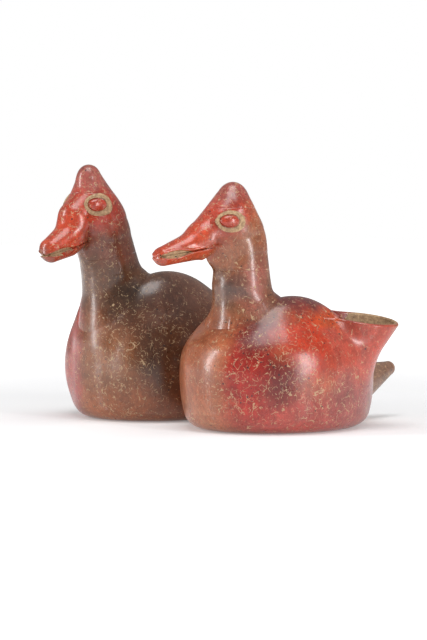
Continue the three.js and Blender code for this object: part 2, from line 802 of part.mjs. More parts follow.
// The coil of clay smoothed into the valley all round the flat joint between the two ducks
function joinCoil(nearPlace, farPlace, cores) {
  const surfaces = [[nearDuck, nearPlace], [farDuck, farPlace]].map(([duck, place]) => {
    const surface = bodySurface(duck);
    const local = new THREE.Vector3();
    return (point) => surface(local.copy(point).sub(place));
  });
  const shared = (point) => Math.max(surfaces[0](point), surfaces[1](point));
  const normal = nearPlace.clone().normalize();
  const along = new THREE.Vector3().crossVectors(up, normal);
  const middle = new THREE.Vector3(0, 0, girthHeight);
  const outward = (turn) => along.clone().multiplyScalar(Math.cos(turn)).addScaledVector(up, Math.sin(turn));
  const centres = ring(joinColumns, (turn) => meet(shared, middle, outward(turn)));
  const rings = Array.from({ length: joinRows }, (_, row) => {
    const roll = row / joinRows * Math.PI * 2;
    return ring(joinColumns, (turn) => centres[Math.round(turn / (Math.PI * 2) * joinColumns)].clone()
      .addScaledVector(outward(turn), joinCoilRadius * Math.cos(roll))
      .addScaledVector(normal, joinCoilRadius * Math.sin(roll)));
  });
  const below = new THREE.Vector3(0, 0, -cutterSize / 2);
  const ground = boxSolid(new THREE.Vector3(cutterSize, cutterSize, cutterSize), below);
  const coil = solid(moulded(rings, true)).subtract(ground);
  return withoutCrumbs(cores.reduce((rest, core) => rest.subtract(core), coil));
}

// Assembly

function clay(name, body, colour) {
  const material = new THREE.MeshStandardMaterial({ color: colour, roughness: 0.35, metalness: 0 });
  const mesh = new THREE.Mesh(geometryOf(body), material);
  mesh.name = name;
  return mesh;
}

function duckGroup(duck, joint, place, openings, extras) {
  const group = new THREE.Group();
  group.position.copy(place);
  const core = bodyCore(duck);
  const head = headCore(duck);
  const bore = neckBore(duck);
  const cuts = [beyondJoint(joint), passageSolid(joint), ...openings];
  const bill = billSolids(duck, head);
  const add = (name, body, colour = duck.colour) => group.add(clay(`${duck.name}_${name}`, body, colour));
  add('body_bowl', bodyBowl(duck, joint, cuts));
  add('body_upper', bodyUpper(duck, joint, [...cuts, bore]));
  add('neck', neckSolid(duck, core, bore));
  add('head', headSolid(duck, bore), headColour);
  add('crest', crestSolid(duck), headColour);
  add('upper_bill', bill.upper, headColour);
  add('lower_bill', bill.lower, headColour);
  for (const [word, side] of [['left', 1], ['right', -1]]) {
    add(`${word}_eye_pellet`, eyePellet(duck, side, head), headColour);
    add(`${word}_eye_ring`, eyeRing(duck, side, head), wornColour);
  }
  add('tail', tailSolid(duck, core), wornColour);
  extras.forEach(([name, make]) => group.add(clay(name, make(core), nearDuck.colour)));
  return { group, core: core.translate([place.x, place.y, place.z]) };
}

const stagger = radians(staggerDegrees);
const towardsFar = new THREE.Vector3(-Math.cos(stagger), -Math.sin(stagger), 0);
const towardsNear = towardsFar.clone().negate();
const nearJoint = jointOf(nearDuck, towardsFar);
const farJoint = jointOf(farDuck, towardsNear);
const nearPlace = towardsNear.clone().multiplyScalar(nearJoint.distance);
const farPlace = towardsFar.clone().multiplyScalar(farJoint.distance);

const vessel = new THREE.Group();
const throat = spoutBore();
const tube = ['spout', (core) => spoutSolid(core, throat)];
const near = duckGroup(nearDuck, nearJoint, nearPlace, [throat], [tube]);
const far = duckGroup(farDuck, farJoint, farPlace, [], []);
vessel.add(near.group, far.group);
vessel.add(clay('join_coil', joinCoil(nearPlace, farPlace, [near.core, far.core]), farDuck.colour));

const box = new THREE.Box3().setFromObject(vessel);
const middle = box.getCenter(new THREE.Vector3());
vessel.position.set(-middle.x, -middle.y, -box.min.z);

export default vessel;
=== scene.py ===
import math

import bmesh
import bpy
import numpy as np
from mathutils import Matrix, Vector


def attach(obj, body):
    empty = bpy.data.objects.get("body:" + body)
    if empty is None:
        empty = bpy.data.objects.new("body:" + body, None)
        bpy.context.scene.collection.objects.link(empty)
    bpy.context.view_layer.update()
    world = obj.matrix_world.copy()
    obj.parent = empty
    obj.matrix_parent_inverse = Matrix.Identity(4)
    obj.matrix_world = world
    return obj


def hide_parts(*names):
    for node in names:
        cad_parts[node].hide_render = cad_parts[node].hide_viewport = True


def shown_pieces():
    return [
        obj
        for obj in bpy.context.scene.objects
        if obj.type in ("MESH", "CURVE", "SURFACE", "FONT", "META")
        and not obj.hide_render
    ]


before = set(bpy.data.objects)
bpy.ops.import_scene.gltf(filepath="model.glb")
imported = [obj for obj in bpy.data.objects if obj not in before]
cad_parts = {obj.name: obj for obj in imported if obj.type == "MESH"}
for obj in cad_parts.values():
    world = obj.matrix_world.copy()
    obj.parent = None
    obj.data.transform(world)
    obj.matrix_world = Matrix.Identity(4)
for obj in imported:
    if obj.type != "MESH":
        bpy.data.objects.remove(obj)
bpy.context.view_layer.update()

# The near duck's bowl: the lower half of its plump hollow body with the flat base, shaped by hand in
# coarse red clay. Its clay runs on into the upper half, so the sizes of the whole body stand here, in
# millimetres in the duck's own frame: it faces -Y over the floor point under its body's middle.
joint_turn = math.radians(5.2)
near = {
    "place": np.array((62.474, 5.681, 0.0)),
    "body": (70.5, 80.0, 89.5),
    "depth": 76.5,
    "wing": {"inset": 16.5, "half": np.array((30.0, 52.0, 42.5)), "ahead": 2.0, "rise": 13.5, "slope": 13.0},
    "shoulder": {"inset": 12.5, "half": np.array((27.0, 32.0, 36.0)), "ahead": 27.0, "height": 39.0},
    "breast": (31.5, 21.0, 29.0),
    "joint": (-math.cos(joint_turn), -math.sin(joint_turn)),
    "joint_distance": 66.065,
}
girth_height = 44.0
bowl_height = 60.0
wall = 6.0
floor_thickness = 7.0
base_rounding = 12.0
lobe_blend = 11.0
body_squareness = 2.6
midline_softness = 3.0
still = np.zeros(3)


def smooth_join(first, second, reach):
    share = np.maximum(reach - np.abs(first - second), 0) / reach
    return np.minimum(first, second) - share ** 2 * reach * 0.25


def lobe(points, centre, half):
    away = points - centre
    share = np.linalg.norm(away / half, axis=1)
    slope = np.maximum(np.linalg.norm(away / half ** 2, axis=1), 1e-9)
    return share * (share - 1) / slope


def ahead(distance, height):
    return np.array((0.0, -distance, height))


def body_surface(duck):
    """How far points lie outside the body's clay: squat main lump, two wings, two shoulders, breast."""
    half_width, half_length, back = duck["body"]
    wing, shoulder = duck["wing"], duck["shoulder"]
    slope = math.radians(wing["slope"])
    wing_side = half_width - wing["inset"] - wing["half"][0]
    wing_height = back + wing["rise"] - wing["half"][2]
    shoulder_side = half_width - shoulder["inset"] - shoulder["half"][0]
    shoulder_centre = np.array((shoulder_side, -shoulder["ahead"], shoulder["height"]))
    breast_ahead, breast_drop, breast_radius = duck["breast"]
    breast_centre = ahead(breast_ahead, back - breast_drop)

    def distance(points):
        rise = points[:, 2] - girth_height
        side = np.maximum(np.abs(points[:, 0]), 0.001)
        plan = np.hypot(side / half_width, points[:, 1] / half_length)
        level = np.abs(rise) / np.where(rise > 0, back - girth_height, duck["depth"])
        share = (plan ** body_squareness + level ** body_squareness) ** (1 / body_squareness)
        main = np.sqrt(side ** 2 + points[:, 1] ** 2 + rise ** 2) * (1 - 1 / share)
        behind = points[:, 1] + wing["ahead"]
        lift = points[:, 2] - wing_height
        paired = np.sqrt(points[:, 0] ** 2 + midline_softness ** 2)
        tilted = np.stack((paired - wing_side, behind * math.cos(slope) - lift * math.sin(slope),
                           behind * math.sin(slope) + lift * math.cos(slope)), axis=1)
        folded = np.stack((paired, points[:, 1], points[:, 2]), axis=1)
        plump = smooth_join(main, lobe(tilted, still, wing["half"]), lobe_blend)
        plump = smooth_join(plump, lobe(folded, shoulder_centre, shoulder["half"]), lobe_blend)
        breast = np.linalg.norm(points - breast_centre, axis=1) - breast_radius
        plump = smooth_join(plump, breast, lobe_blend)
        return -smooth_join(-plump, points[:, 2], base_rounding)

    return distance


def chamber_surface(duck):
    outside = body_surface(duck)

    def distance(points):
        joint = points[:, :2] @ np.array(duck["joint"]) - duck["joint_distance"] + wall
        return np.maximum(np.maximum(outside(points) + wall, floor_thickness - points[:, 2]), joint)

    return distance


def meet(surface, origins, directions, step=3.0):
    """Walks along each ray to the first place where it passes through the surface."""
    inside = surface(origins) < 0
    low = np.zeros(len(origins))
    high = np.full(len(origins), step)
    walking = np.arange(len(origins))
    while len(walking) and high.max() < 300:
        place = origins[walking] + directions[walking] * high[walking, None]
        onward = walking[(surface(place) < 0) == inside[walking]]
        low[onward] = high[onward]
        high[onward] += step
        walking = onward
    for _ in range(6):
        middle = (low + high) / 2
        same = (surface(origins + directions * middle[:, None]) < 0) == inside
        low = np.where(same, middle, low)
        high = np.where(same, high, middle)
    before = surface(origins + directions * low[:, None])
    after = surface(origins + directions * high[:, None])
    share = np.clip(before / np.where(before == after, 1, before - after), 0, 1)
    return origins + directions * (low + (high - low) * share)[:, None]


def slope_of(surface, points, reach=0.05):
    """The direction in which the surface faces at each point."""
    slope = np.zeros((len(points), 3))
    for corner in ((1, -1, -1), (-1, -1, 1), (-1, 1, -1), (1, 1, 1)):
        corner = np.array(corner, float)
        slope += surface(points + corner * reach)[:, None] * corner
    return slope / np.maximum(np.linalg.norm(slope, axis=1), 1e-9)[:, None]


def ball_of_rings(clay, columns, rows):
    """Adds a UV sphere, and says for each vertex which ring it is in, 0 at the pole, and its angle."""
    verts = bmesh.ops.create_uvsphere(clay, u_segments=columns, v_segments=rows, radius=1)["verts"]
    places = np.array([vert.co[:] for vert in verts])
    ring = np.rint(np.arccos(np.clip(places[:, 2], -1, 1)) / math.pi * rows)
    turn = np.arctan2(places[:, 1], places[:, 0])
    turn = np.rint(turn / (2 * math.pi) * columns) % columns / columns * 2 * math.pi
    return verts, ring, turn


def lay(verts, points, duck):
    for vert, point in zip(verts, (points + duck["place"]) / 1000):
        vert.co = point


def lay_body(clay, duck, surface, columns, rows):
    verts, ring, turn = ball_of_rings(clay, columns, rows)
    elevation = math.pi / 2 - ring / rows * math.pi
    share = np.clip((elevation + 0.2) / 0.8, 0, 1)
    height = girth_height + (bowl_height - girth_height) * share ** 2 * (3 - 2 * share)
    origins = np.stack((0 * height, 0 * height, height), axis=1)
    level = np.cos(elevation)
    directions = np.stack((np.cos(turn) * level, np.sin(turn) * level, np.sin(elevation)), axis=1)
    lay(verts, meet(surface, origins, directions), duck)


def whole_body(duck):
    """The hollow body with its chamber, cut flat where the other duck joins it."""
    clay = bmesh.new()
    lay_body(clay, duck, body_surface(duck), 264, 184)
    joint = np.array((*duck["joint"], 0.0))
    on_joint = (joint * duck["joint_distance"] + duck["place"]) / 1000
    everything = clay.verts[:] + clay.edges[:] + clay.faces[:]
    cut = bmesh.ops.bisect_plane(clay, geom=everything, plane_co=on_joint, plane_no=joint, clear_outer=True)
    edges = [item for item in cut["geom_cut"] if isinstance(item, bmesh.types.BMEdge)]
    bmesh.ops.edgeloop_fill(clay, edges=edges)
    outside = set(clay.faces)
    lay_body(clay, duck, chamber_surface(duck), 96, 64)
    bmesh.ops.reverse_faces(clay, faces=[face for face in clay.faces if face not in outside])
    return clay


def body_half(whole, above):
    clay = whole.copy()
    everything = clay.verts[:] + clay.edges[:] + clay.faces[:]
    rim = bmesh.ops.bisect_plane(clay, geom=everything, plane_co=(0, 0, bowl_height / 1000),
                                 plane_no=(0, 0, 1), clear_inner=above, clear_outer=not above)
    edges = [item for item in rim["geom_cut"] if isinstance(item, bmesh.types.BMEdge)]
    bmesh.ops.bridge_loops(clay, edges=edges)
    return clay


def add(tree, kind, inputs=None, **settings):
    """Adds a shader node: inputs holds values or the sockets to link them from."""
    node = tree.nodes.new(kind)
    for name, value in settings.items():
        setattr(node, name, value)
    for name, value in (inputs or {}).items():
        if isinstance(value, bpy.types.NodeSocket):
            tree.links.new(value, node.inputs[name])
        else:
            node.inputs[name].default_value = value
    return node


def new_group(name, outputs):
    tree = bpy.data.node_groups.new(name, "ShaderNodeTree")
    tree.interface.new_socket("Place", in_out="INPUT", socket_type="NodeSocketVector")
    for label, kind in outputs:
        tree.interface.new_socket(label, in_out="OUTPUT", socket_type=kind)
    place = tree.nodes.new("NodeGroupInput").outputs["Place"]
    return tree, place, tree.nodes.new("NodeGroupOutput")


def noise(tree, place, scale, detail=2.0, roughness=0.5, offset=0.0):
    """Noise of 0 to 1: its scale is in lumps to the metre."""
    if offset:
        place = add(tree, "ShaderNodeVectorMath", {0: place, 1: (offset, offset, offset)},
                    operation="ADD").outputs[0]
    return add(tree, "ShaderNodeTexNoise", {"Vector": place, "Scale": scale, "Detail": detail,
                                            "Roughness": roughness}).outputs


def ramp(tree, value, low, high, bottom=0.0, top=1.0):
    limits = {"Value": value, "From Min": low, "From Max": high, "To Min": bottom, "To Max": top}
    return add(tree, "ShaderNodeMapRange", limits, interpolation_type="SMOOTHSTEP").outputs["Result"]


def times(tree, *values):
    result = values[0]
    for value in values[1:]:
        result = add(tree, "ShaderNodeMath", {0: result, 1: value}, operation="MULTIPLY").outputs[0]
    return result


def blend(tree, share, under, over, way="MIX"):
    mix = add(tree, "ShaderNodeMix", data_type="RGBA", blend_type=way, clamp_factor=True)
    for index, value in ((0, share), (6, under), (7, over)):
        if isinstance(value, bpy.types.NodeSocket):
            tree.links.new(value, mix.inputs[index])
        else:
            mix.inputs[index].default_value = (*value, 1) if index else value
    return mix.outputs[2]


def patch(tree, place, centre, reach, softness):
    """1 inside an egg-shaped patch of the vessel, 0 outside it; centre and reach are in millimetres."""
    away = add(tree, "ShaderNodeVectorMath", {0: place, 1: tuple(value / 1000 for value in centre)},
               operation="SUBTRACT").outputs[0]
    share = add(tree, "ShaderNodeVectorMath", {0: away, 1: tuple(value / 1000 for value in reach)},
                operation="DIVIDE").outputs[0]
    length = add(tree, "ShaderNodeVectorMath", {0: share}, operation="LENGTH").outputs["Value"]
    return ramp(tree, length, 1 - softness, 1 + softness, 1.0, 0.0)


def duck_colour(name, ground, patches):
    """The slip of one duck: patches of colour, most of them from the fire and from wear, with wandering
    edges. Some are painted light: painted shade in creases, hollows and the valley where the ducks meet, and
    painted highlight and sheen.
    """
    tree, place, out = new_group(name, [("Color", "NodeSocketColor")])
    wander = noise(tree, place, 28, 4, 0.62)["Color"]
    wander = add(tree, "ShaderNodeVectorMath", {0: wander, 1: (0.5, 0.5, 0.5)},
                 operation="SUBTRACT").outputs[0]
    wander = add(tree, "ShaderNodeVectorMath", {0: wander, "Scale": 0.034}, operation="SCALE").outputs[0]
    moved = add(tree, "ShaderNodeVectorMath", {0: place, 1: wander}, operation="ADD").outputs[0]
    colour = ground
    for centre, reach, softness, tint in patches:
        colour = blend(tree, patch(tree, moved, centre, reach, softness), colour, tint)
    tree.links.new(colour, out.inputs["Color"])
    return tree


near_colour = duck_colour("near_duck_slip_and_painted_light", (0.38, 0.105, 0.040), [
    ((62, 30, 50), (80, 46, 90), 0.35, (0.30, 0.055, 0.042)),
    ((62, -45, 16), (34, 40, 16), 0.5, (0.38, 0.135, 0.070)),
    ((118, -22, 12), (40, 60, 22), 0.45, (0.40, 0.062, 0.045)),
    ((122, 34, 24), (46, 44, 34), 0.4, (0.33, 0.075, 0.062)),
    ((103, -60, 44), (19, 22, 36), 0.45, (0.37, 0.018, 0.010)),
    # Dark maroon patch in the crease between the neck and the left wing: painted shade
    ((99, -44, 78), (20, 22, 24), 0.5, (0.16, 0.012, 0.008)),
    ((72, 2, 104), (50, 50, 16), 0.45, (0.15, 0.022, 0.020)),
    ((118, -10, 68), (22, 32, 30), 0.4, (0.43, 0.030, 0.006)),
    # Dark red patch in the left flank's hollow before the spout: painted shade
    ((120, -40, 42), (18, 15, 18), 0.55, (0.19, 0.014, 0.011)),
    ((126, 34, 70), (34, 32, 36), 0.3, (0.46, 0.070, 0.042)),
    ((110, 16, 87), (14, 16, 12), 0.5, (0.50, 0.058, 0.008)),
    ((70, -44, 112), (36, 34, 30), 0.3, (0.20, 0.076, 0.036)),
    # Pale pink strip down the back of the neck: painted highlight
    ((80, -36, 122), (12, 12, 34), 0.6, (0.30, 0.085, 0.060)),
    ((76, -50, 107), (10, 8, 9), 0.8, (0.11, 0.055, 0.040)),
    ((76, -48, 146), (26, 26, 20), 0.5, (0.28, 0.090, 0.038)),
    ((62, -66, 172), (34, 34, 22), 0.35, (0.42, 0.044, 0.020)),
    ((58, -100, 148), (30, 36, 22), 0.4, (0.47, 0.050, 0.016)),
    # Mauve patch on the crest's top: painted sheen
    ((68, -44, 190), (24, 26, 14), 0.5, (0.33, 0.072, 0.055)),
    ((66, 112, 36), (28, 26, 26), 0.3, (0.24, 0.125, 0.080)),
])
far_colour = duck_colour("far_duck_slip_and_painted_light", (0.110, 0.036, 0.014), [
    ((-60, 30, 50), (70, 50, 90), 0.4, (0.145, 0.044, 0.020)),
    ((-40, -66, 10), (80, 50, 26), 0.5, (0.29, 0.088, 0.032)),
    ((-66, -84, 66), (22, 16, 36), 0.5, (0.22, 0.070, 0.026)),
    ((-44, -80, 46), (26, 18, 24), 0.6, (0.23, 0.078, 0.026)),
    ((-104, -66, 52), (30, 36, 60), 0.3, (0.36, 0.040, 0.026)),
    # Dark brown patch on the far flank beside the near duck: painted shade of the valley where the ducks meet
    ((-8, -44, 55), (16, 26, 40), 0.5, (0.10, 0.034, 0.012)),
    # Brown patch on the back, tinted mauve: brown slip with painted sheen
    ((-34, -22, 108), (50, 40, 22), 0.45, (0.125, 0.052, 0.032)),
    ((-60, -62, 120), (36, 36, 26), 0.35, (0.120, 0.046, 0.020)),
    # Near-black patch in the crease between the neck and the left wing: painted shade
    ((-46, -62, 98), (18, 16, 14), 0.6, (0.050, 0.022, 0.010)),
    ((-50, -66, 146), (26, 22, 18), 0.5, (0.20, 0.055, 0.028)),
    ((-58, -88, 176), (36, 36, 24), 0.35, (0.39, 0.040, 0.020)),
    ((-48, -118, 152), (32, 30, 26), 0.4, (0.46, 0.048, 0.016)),
    # Mauve patch on the crest's top: painted sheen
    ((-58, -80, 200), (24, 24, 16), 0.5, (0.33, 0.080, 0.062)),
])

# Both ducks' slips, parted along the seam between the bodies, with their painted shade, highlight and sheen,
# the mottling of the fire, the grain and the fine streaks of burnishing with a pebble
slip, place, out = new_group("burnished_slip_and_painted_light", [("Color", "NodeSocketColor")])
across_joint = (math.cos(joint_turn), math.sin(joint_turn), 0)
side = add(slip, "ShaderNodeVectorMath", {0: place, 1: across_joint},
           operation="DOT_PRODUCT").outputs["Value"]
colour = blend(slip, ramp(slip, side, -0.006, 0.0),
               add(slip, "ShaderNodeGroup", node_tree=far_colour).outputs[0],
               add(slip, "ShaderNodeGroup", node_tree=near_colour).outputs[0])
for node in slip.nodes:
    if node.type == "GROUP":
        slip.links.new(place, node.inputs["Place"])
streaked = add(slip, "ShaderNodeVectorMath", {0: place, 1: (1, 1, 0.16)}, operation="MULTIPLY").outputs[0]
for value, low, high, dark, light in (
        (noise(slip, place, 45, 5, 0.65)[0], 0.3, 0.7, 0.66, 1.20),
        (noise(slip, place, 260, 3, 0.6)[0], 0.3, 0.7, 0.80, 1.16),
        (noise(slip, place, 1300, 2, 0.6)[0], 0.3, 0.7, 0.78, 1.22),
        (noise(slip, streaked, 700, 2, 0.55)[0], 0.3, 0.7, 0.88, 1.12)):
    limits = {"Value": value, "From Min": low, "From Max": high, "To Min": dark, "To Max": light}
    level = add(slip, "ShaderNodeMapRange", limits).outputs["Result"]
    grey = add(slip, "ShaderNodeCombineColor", {"Red": level, "Green": level, "Blue": level}).outputs[0]
    colour = blend(slip, 1.0, colour, grey, "MULTIPLY")
rubbed = times(slip, ramp(slip, noise(slip, place, 620, 3, 0.6, 3.0)[0], 0.56, 0.66),
               ramp(slip, noise(slip, place, 34, 3, 0.6, 5.0)[0], 0.42, 0.66, 0.05, 0.5))
colour = blend(slip, rubbed, colour, (0.33, 0.15, 0.085))
slip.links.new(colour, out.inputs["Color"])

# Marks in the slip: fine curved tan traces of rootlets, black manganese specks, and a height for the bump
marks, place, out = new_group("ground_marks", [("Rootlets", "NodeSocketFloat"), ("Specks", "NodeSocketFloat"),
                                               ("Height", "NodeSocketFloat")])
crowded = ramp(marks, noise(marks, place, 26, 3, 0.6, 7.0)[0], 0.42, 0.66, 0.0, 0.7)
for centre, reach in (((-40, -78, 46), (40, 30, 26)), ((104, -58, 44), (20, 24, 32)),
                      ((118, -20, 46), (26, 30, 20)), ((126, 20, 26), (30, 40, 20)),
                      ((-20, -62, 56), (26, 24, 34))):
    near_patch = times(marks, patch(marks, place, centre, reach, 0.6), 0.45)
    crowded = add(marks, "ShaderNodeMath", {0: crowded, 1: near_patch}, operation="ADD",
                  use_clamp=True).outputs[0]
traces = None
for offset, scale, cut_scale, thin in ((0.0, 90, 210, 0.009), (0.9, 130, 260, 0.012), (1.7, 70, 240, 0.007),
                                       (2.6, 170, 330, 0.015), (3.3, 110, 300, 0.010)):
    wave = noise(marks, place, scale, 1.0, 0.5, offset + 0.01)[0]
    off = add(marks, "ShaderNodeMath", {0: wave, 1: 0.5}, operation="SUBTRACT").outputs[0]
    off = add(marks, "ShaderNodeMath", {0: off}, operation="ABSOLUTE").outputs[0]
    line = ramp(marks, off, thin * 0.35, thin, 1.0, 0.0)
    broken = add(marks, "ShaderNodeMath", {0: noise(marks, place, cut_scale, 1.0, 0.5, offset + 4.0)[0],
                                           1: times(marks, crowded, 0.085)}, operation="ADD").outputs[0]
    line = times(marks, line, ramp(marks, broken, 0.60, 0.64))
    traces = line if traces is None else add(marks, "ShaderNodeMath", {0: traces, 1: line},
                                             operation="MAXIMUM").outputs[0]
specked = ramp(marks, noise(marks, place, 40, 2, 0.5, 9.0)[0], 0.55, 0.7, 0.1, 0.5)
for centre, reach in (((-46, -72, 150), (14, 14, 14)), ((68, -74, 147), (12, 12, 10)),
                      ((108, 2, 84), (16, 22, 12)), ((-50, -104, 156), (16, 16, 16)),
                      ((106, -58, 44), (16, 20, 26))):
    specked = add(marks, "ShaderNodeMath", {0: specked, 1: patch(marks, place, centre, reach, 0.5)},
                  operation="MAXIMUM").outputs[0]
cells = add(marks, "ShaderNodeTexVoronoi", {"Vector": place, "Scale": 420.0})
chosen = add(marks, "ShaderNodeSeparateColor", {"Color": cells.outputs["Color"]}).outputs
size = add(marks, "ShaderNodeMapRange", {"Value": chosen[1], "To Min": 0.12, "To Max": 0.34})
inside = add(marks, "ShaderNodeMath", {0: cells.outputs["Distance"], 1: size.outputs["Result"]},
             operation="LESS_THAN").outputs[0]
picked = add(marks, "ShaderNodeMath", {0: chosen[0], 1: times(marks, specked, 0.34)},
             operation="LESS_THAN").outputs[0]
specks = times(marks, inside, picked)
facets = add(marks, "ShaderNodeVectorMath", {0: place, 1: (1, 1, 0.3)}, operation="MULTIPLY").outputs[0]
height = add(marks, "ShaderNodeMath", {0: times(marks, noise(marks, facets, 160, 2, 0.5)[0], 0.5),
                                       1: times(marks, noise(marks, place, 1500, 2, 0.6)[0], 0.10)},
             operation="ADD").outputs[0]
height = add(marks, "ShaderNodeMath", {0: height, 1: times(marks, traces, 0.10)},
             operation="SUBTRACT").outputs[0]
for value, label in ((traces, "Rootlets"), (specks, "Specks"), (height, "Height")):
    marks.links.new(value, out.inputs[label])


def clay_material(name, roughness, bare=0.0, coat=0.3):
    """Burnished slip over coarse clay: bare says how much of the slip has gone from it. Its colour carries
    the ducks' painted shade, highlight and sheen patches.
    """
    material = bpy.data.materials.new(name)
    material.use_nodes = True
    tree = material.node_tree
    shader = tree.nodes["Principled BSDF"]
    place = add(tree, "ShaderNodeTexCoord").outputs["Object"]
    colour = add(tree, "ShaderNodeGroup", node_tree=slip)
    ground = add(tree, "ShaderNodeGroup", node_tree=marks)
    for node in (colour, ground):
        tree.links.new(place, node.inputs["Place"])
    colour = colour.outputs["Color"]
    patchy = noise(tree, place, 190, 4, 0.65, 11.0)[0]
    shade = blend(tree, ramp(tree, noise(tree, place, 420, 4, 0.7, 12.0)[0], 0.35, 0.65),
                  (0.27, 0.155, 0.080), (0.50, 0.33, 0.18))
    colour = blend(tree, ramp(tree, patchy, 0.72 - bare * 0.6, 0.76 - bare * 0.6), colour, shade)
    colour = blend(tree, times(tree, ground.outputs["Rootlets"], 0.72), colour, (0.52, 0.36, 0.20))
    colour = blend(tree, times(tree, ground.outputs["Specks"], 0.9), colour, (0.020, 0.018, 0.020))
    tree.links.new(colour, shader.inputs["Base Color"])
    limits = {"Value": noise(tree, place, 75, 4, 0.6, 13.0)[0], "From Min": 0.3, "From Max": 0.7,
              "To Min": roughness - 0.06, "To Max": roughness + 0.08}
    rough = add(tree, "ShaderNodeMapRange", limits).outputs["Result"]
    rough = add(tree, "ShaderNodeMath", {0: rough, 1: times(tree, ground.outputs["Rootlets"], 0.22)},
                operation="ADD").outputs[0]
    tree.links.new(rough, shader.inputs["Roughness"])
    bump = add(tree, "ShaderNodeBump", {"Height": ground.outputs["Height"], "Strength": 0.35,
                                        "Distance": 0.0012})
    tree.links.new(bump.outputs["Normal"], shader.inputs["Normal"])
    shader.inputs["Coat Weight"].default_value = coat
    shader.inputs["Coat Roughness"].default_value = 0.16
    return material


def vessel_surface(points):
    """The whole vessel's smooth outside: each piece takes the direction it faces from it."""
    local = points - near["place"]
    first = near_form(local)
    second = far_form(points - far["place"])
    return smooth_join(first, second, join_blend)


def face_outward(mesh, surface):
    """Gives the corners of faces that lie on the surface its own direction, so that no seam shows."""
    count = len(mesh.vertices)
    points = np.empty(count * 3)
    mesh.vertices.foreach_get("co", points)
    points = points.reshape(count, 3) * 1000
    slope = slope_of(surface, points)
    slope[np.abs(surface(points)) > 0.15] = 0
    corner = np.empty(len(mesh.loops), int)
    mesh.loops.foreach_get("vertex_index", corner)
    faces = np.empty(len(mesh.polygons) * 3)
    mesh.polygons.foreach_get("normal", faces)
    totals = np.empty(len(mesh.polygons), int)
    mesh.polygons.foreach_get("loop_total", totals)
    facing = np.repeat(faces.reshape(-1, 3), totals, axis=0)
    wanted = slope[corner]
    wanted[(wanted * facing).sum(axis=1) < 0.55] = 0
    mesh.normals_split_custom_set(wanted.tolist())


def set_down(clay, name, materials, worn=None):
    """Makes the clay a piece of the vessel that stands for its CAD node."""
    bmesh.ops.recalc_face_normals(clay, faces=clay.faces)
    for face in clay.faces:
        face.smooth = True
    if worn:
        middles = np.array([face.calc_center_median()[:] for face in clay.faces]) * 1000
        for face, bare in zip(clay.faces, worn(middles)):
            face.material_index = int(bare)
    mesh = bpy.data.meshes.new(name)
    clay.to_mesh(mesh)
    clay.free()
    for material in materials:
        mesh.materials.append(material)
    piece = bpy.data.objects.new(name + "_clay", mesh)
    bpy.context.scene.collection.objects.link(piece)
    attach(piece, "root")
    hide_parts(name)
    return piece


near_slip = clay_material("near_slip", 0.30)
worn_clay = clay_material("worn_clay", 0.62, bare=0.74, coat=0.0)
near_whole = whole_body(near)
set_down(body_half(near_whole, above=False), "near_body_bowl", [near_slip])

# The near duck's upper shell: the back with its two folded wings, the shoulders and the breast, one
# pinched and smoothed wall that closes the chamber over the bowl. The spout's bore opens it.
near_upper = set_down(body_half(near_whole, above=True), "near_body_upper", [near_slip])

spout_mouth = np.array((53.0, 45.5, 85.5))
spout_root = np.array((34.0, 20.5, 30.0))
spout_mouth_radius = 24.0
spout_root_radius = 18.5
spout_lip = 4.0
spout_axis = (spout_mouth - spout_root) / np.linalg.norm(spout_mouth - spout_root)
spout_length = np.linalg.norm(spout_mouth - spout_root)


def cut_away(piece, cutter):
    """Cuts the closed form out of the piece for good, and removes it."""
    mesh = bpy.data.meshes.new("cutter")
    cutter.to_mesh(mesh)
    cutter.free()
    tool = bpy.data.objects.new("cutter", mesh)
    bpy.context.scene.collection.objects.link(tool)
    change = piece.modifiers.new("cut", "BOOLEAN")
    change.operation = "DIFFERENCE"
    change.solver = "EXACT"
    change.object = tool
    bpy.context.view_layer.update()
    shaped = piece.evaluated_get(bpy.context.evaluated_depsgraph_get())
    result = bpy.data.meshes.new_from_object(shaped)
    piece.modifiers.clear()
    old = piece.data
    piece.data = result
    bpy.data.meshes.remove(old)
    bpy.data.objects.remove(tool)
    bpy.data.meshes.remove(mesh)


bore = bmesh.new()
bore_turn = Vector(spout_axis).to_track_quat("Z", "Y").to_matrix().to_4x4()
bore_middle = (spout_root + spout_mouth) / 2 + near["place"]
bmesh.ops.create_cone(bore, cap_ends=True, segments=96, radius1=(spout_root_radius - spout_lip) / 1000,
                      radius2=(spout_mouth_radius - spout_lip) / 1000, depth=spout_length / 1000,
                      matrix=Matrix.Translation(bore_middle / 1000) @ bore_turn)
cut_away(near_upper, bore)

# The near duck's neck: a hollow upright tube of clay, luted on over the breast and drawn out over the
# shoulders and the back, so that no joint shows.
near["neck"] = ((36.5, 5.0, 22.5), (37.0, 22.0, 23.0), (37.5, 47.0, 20.5), (41.0, 60.0, 16.0))
near["turn"] = math.radians(-5)
near["skull"] = {"ahead": 0.0, "rise": 4.0, "half": np.array((17.0, 20.0, 14.5))}
near["crest"] = (0.9, (9.0, 15.0, 15.5), (4.5, 32.0, 9.5))
near["brow"] = (1.05, (5.5, 18.0, 16.0), (30.5, 1.0, 12.0))
near["throat"] = (17.0, -14.5, 9.5)
near["crest_seam"] = 22.0
neck_seam_drop = 26.0
neck_root_rise = 6.0
neck_skew = 5.0
neck_blend = 14.0
head_blend = 12.0
throat_blend = 10.0
feather = 0.02
downward = np.array((0.0, 0.0, -1.0))


def taper(points, start, end, start_radius, end_radius):
    along = end - start
    share = np.clip((points - start) @ along / (along @ along), 0, 1)
    return (np.linalg.norm(points - start - share[:, None] * along, axis=1)
            - (start_radius + (end_radius - start_radius) * share))


def neck_point(duck, station):
    return ahead(station[0], duck["body"][2] + station[1])


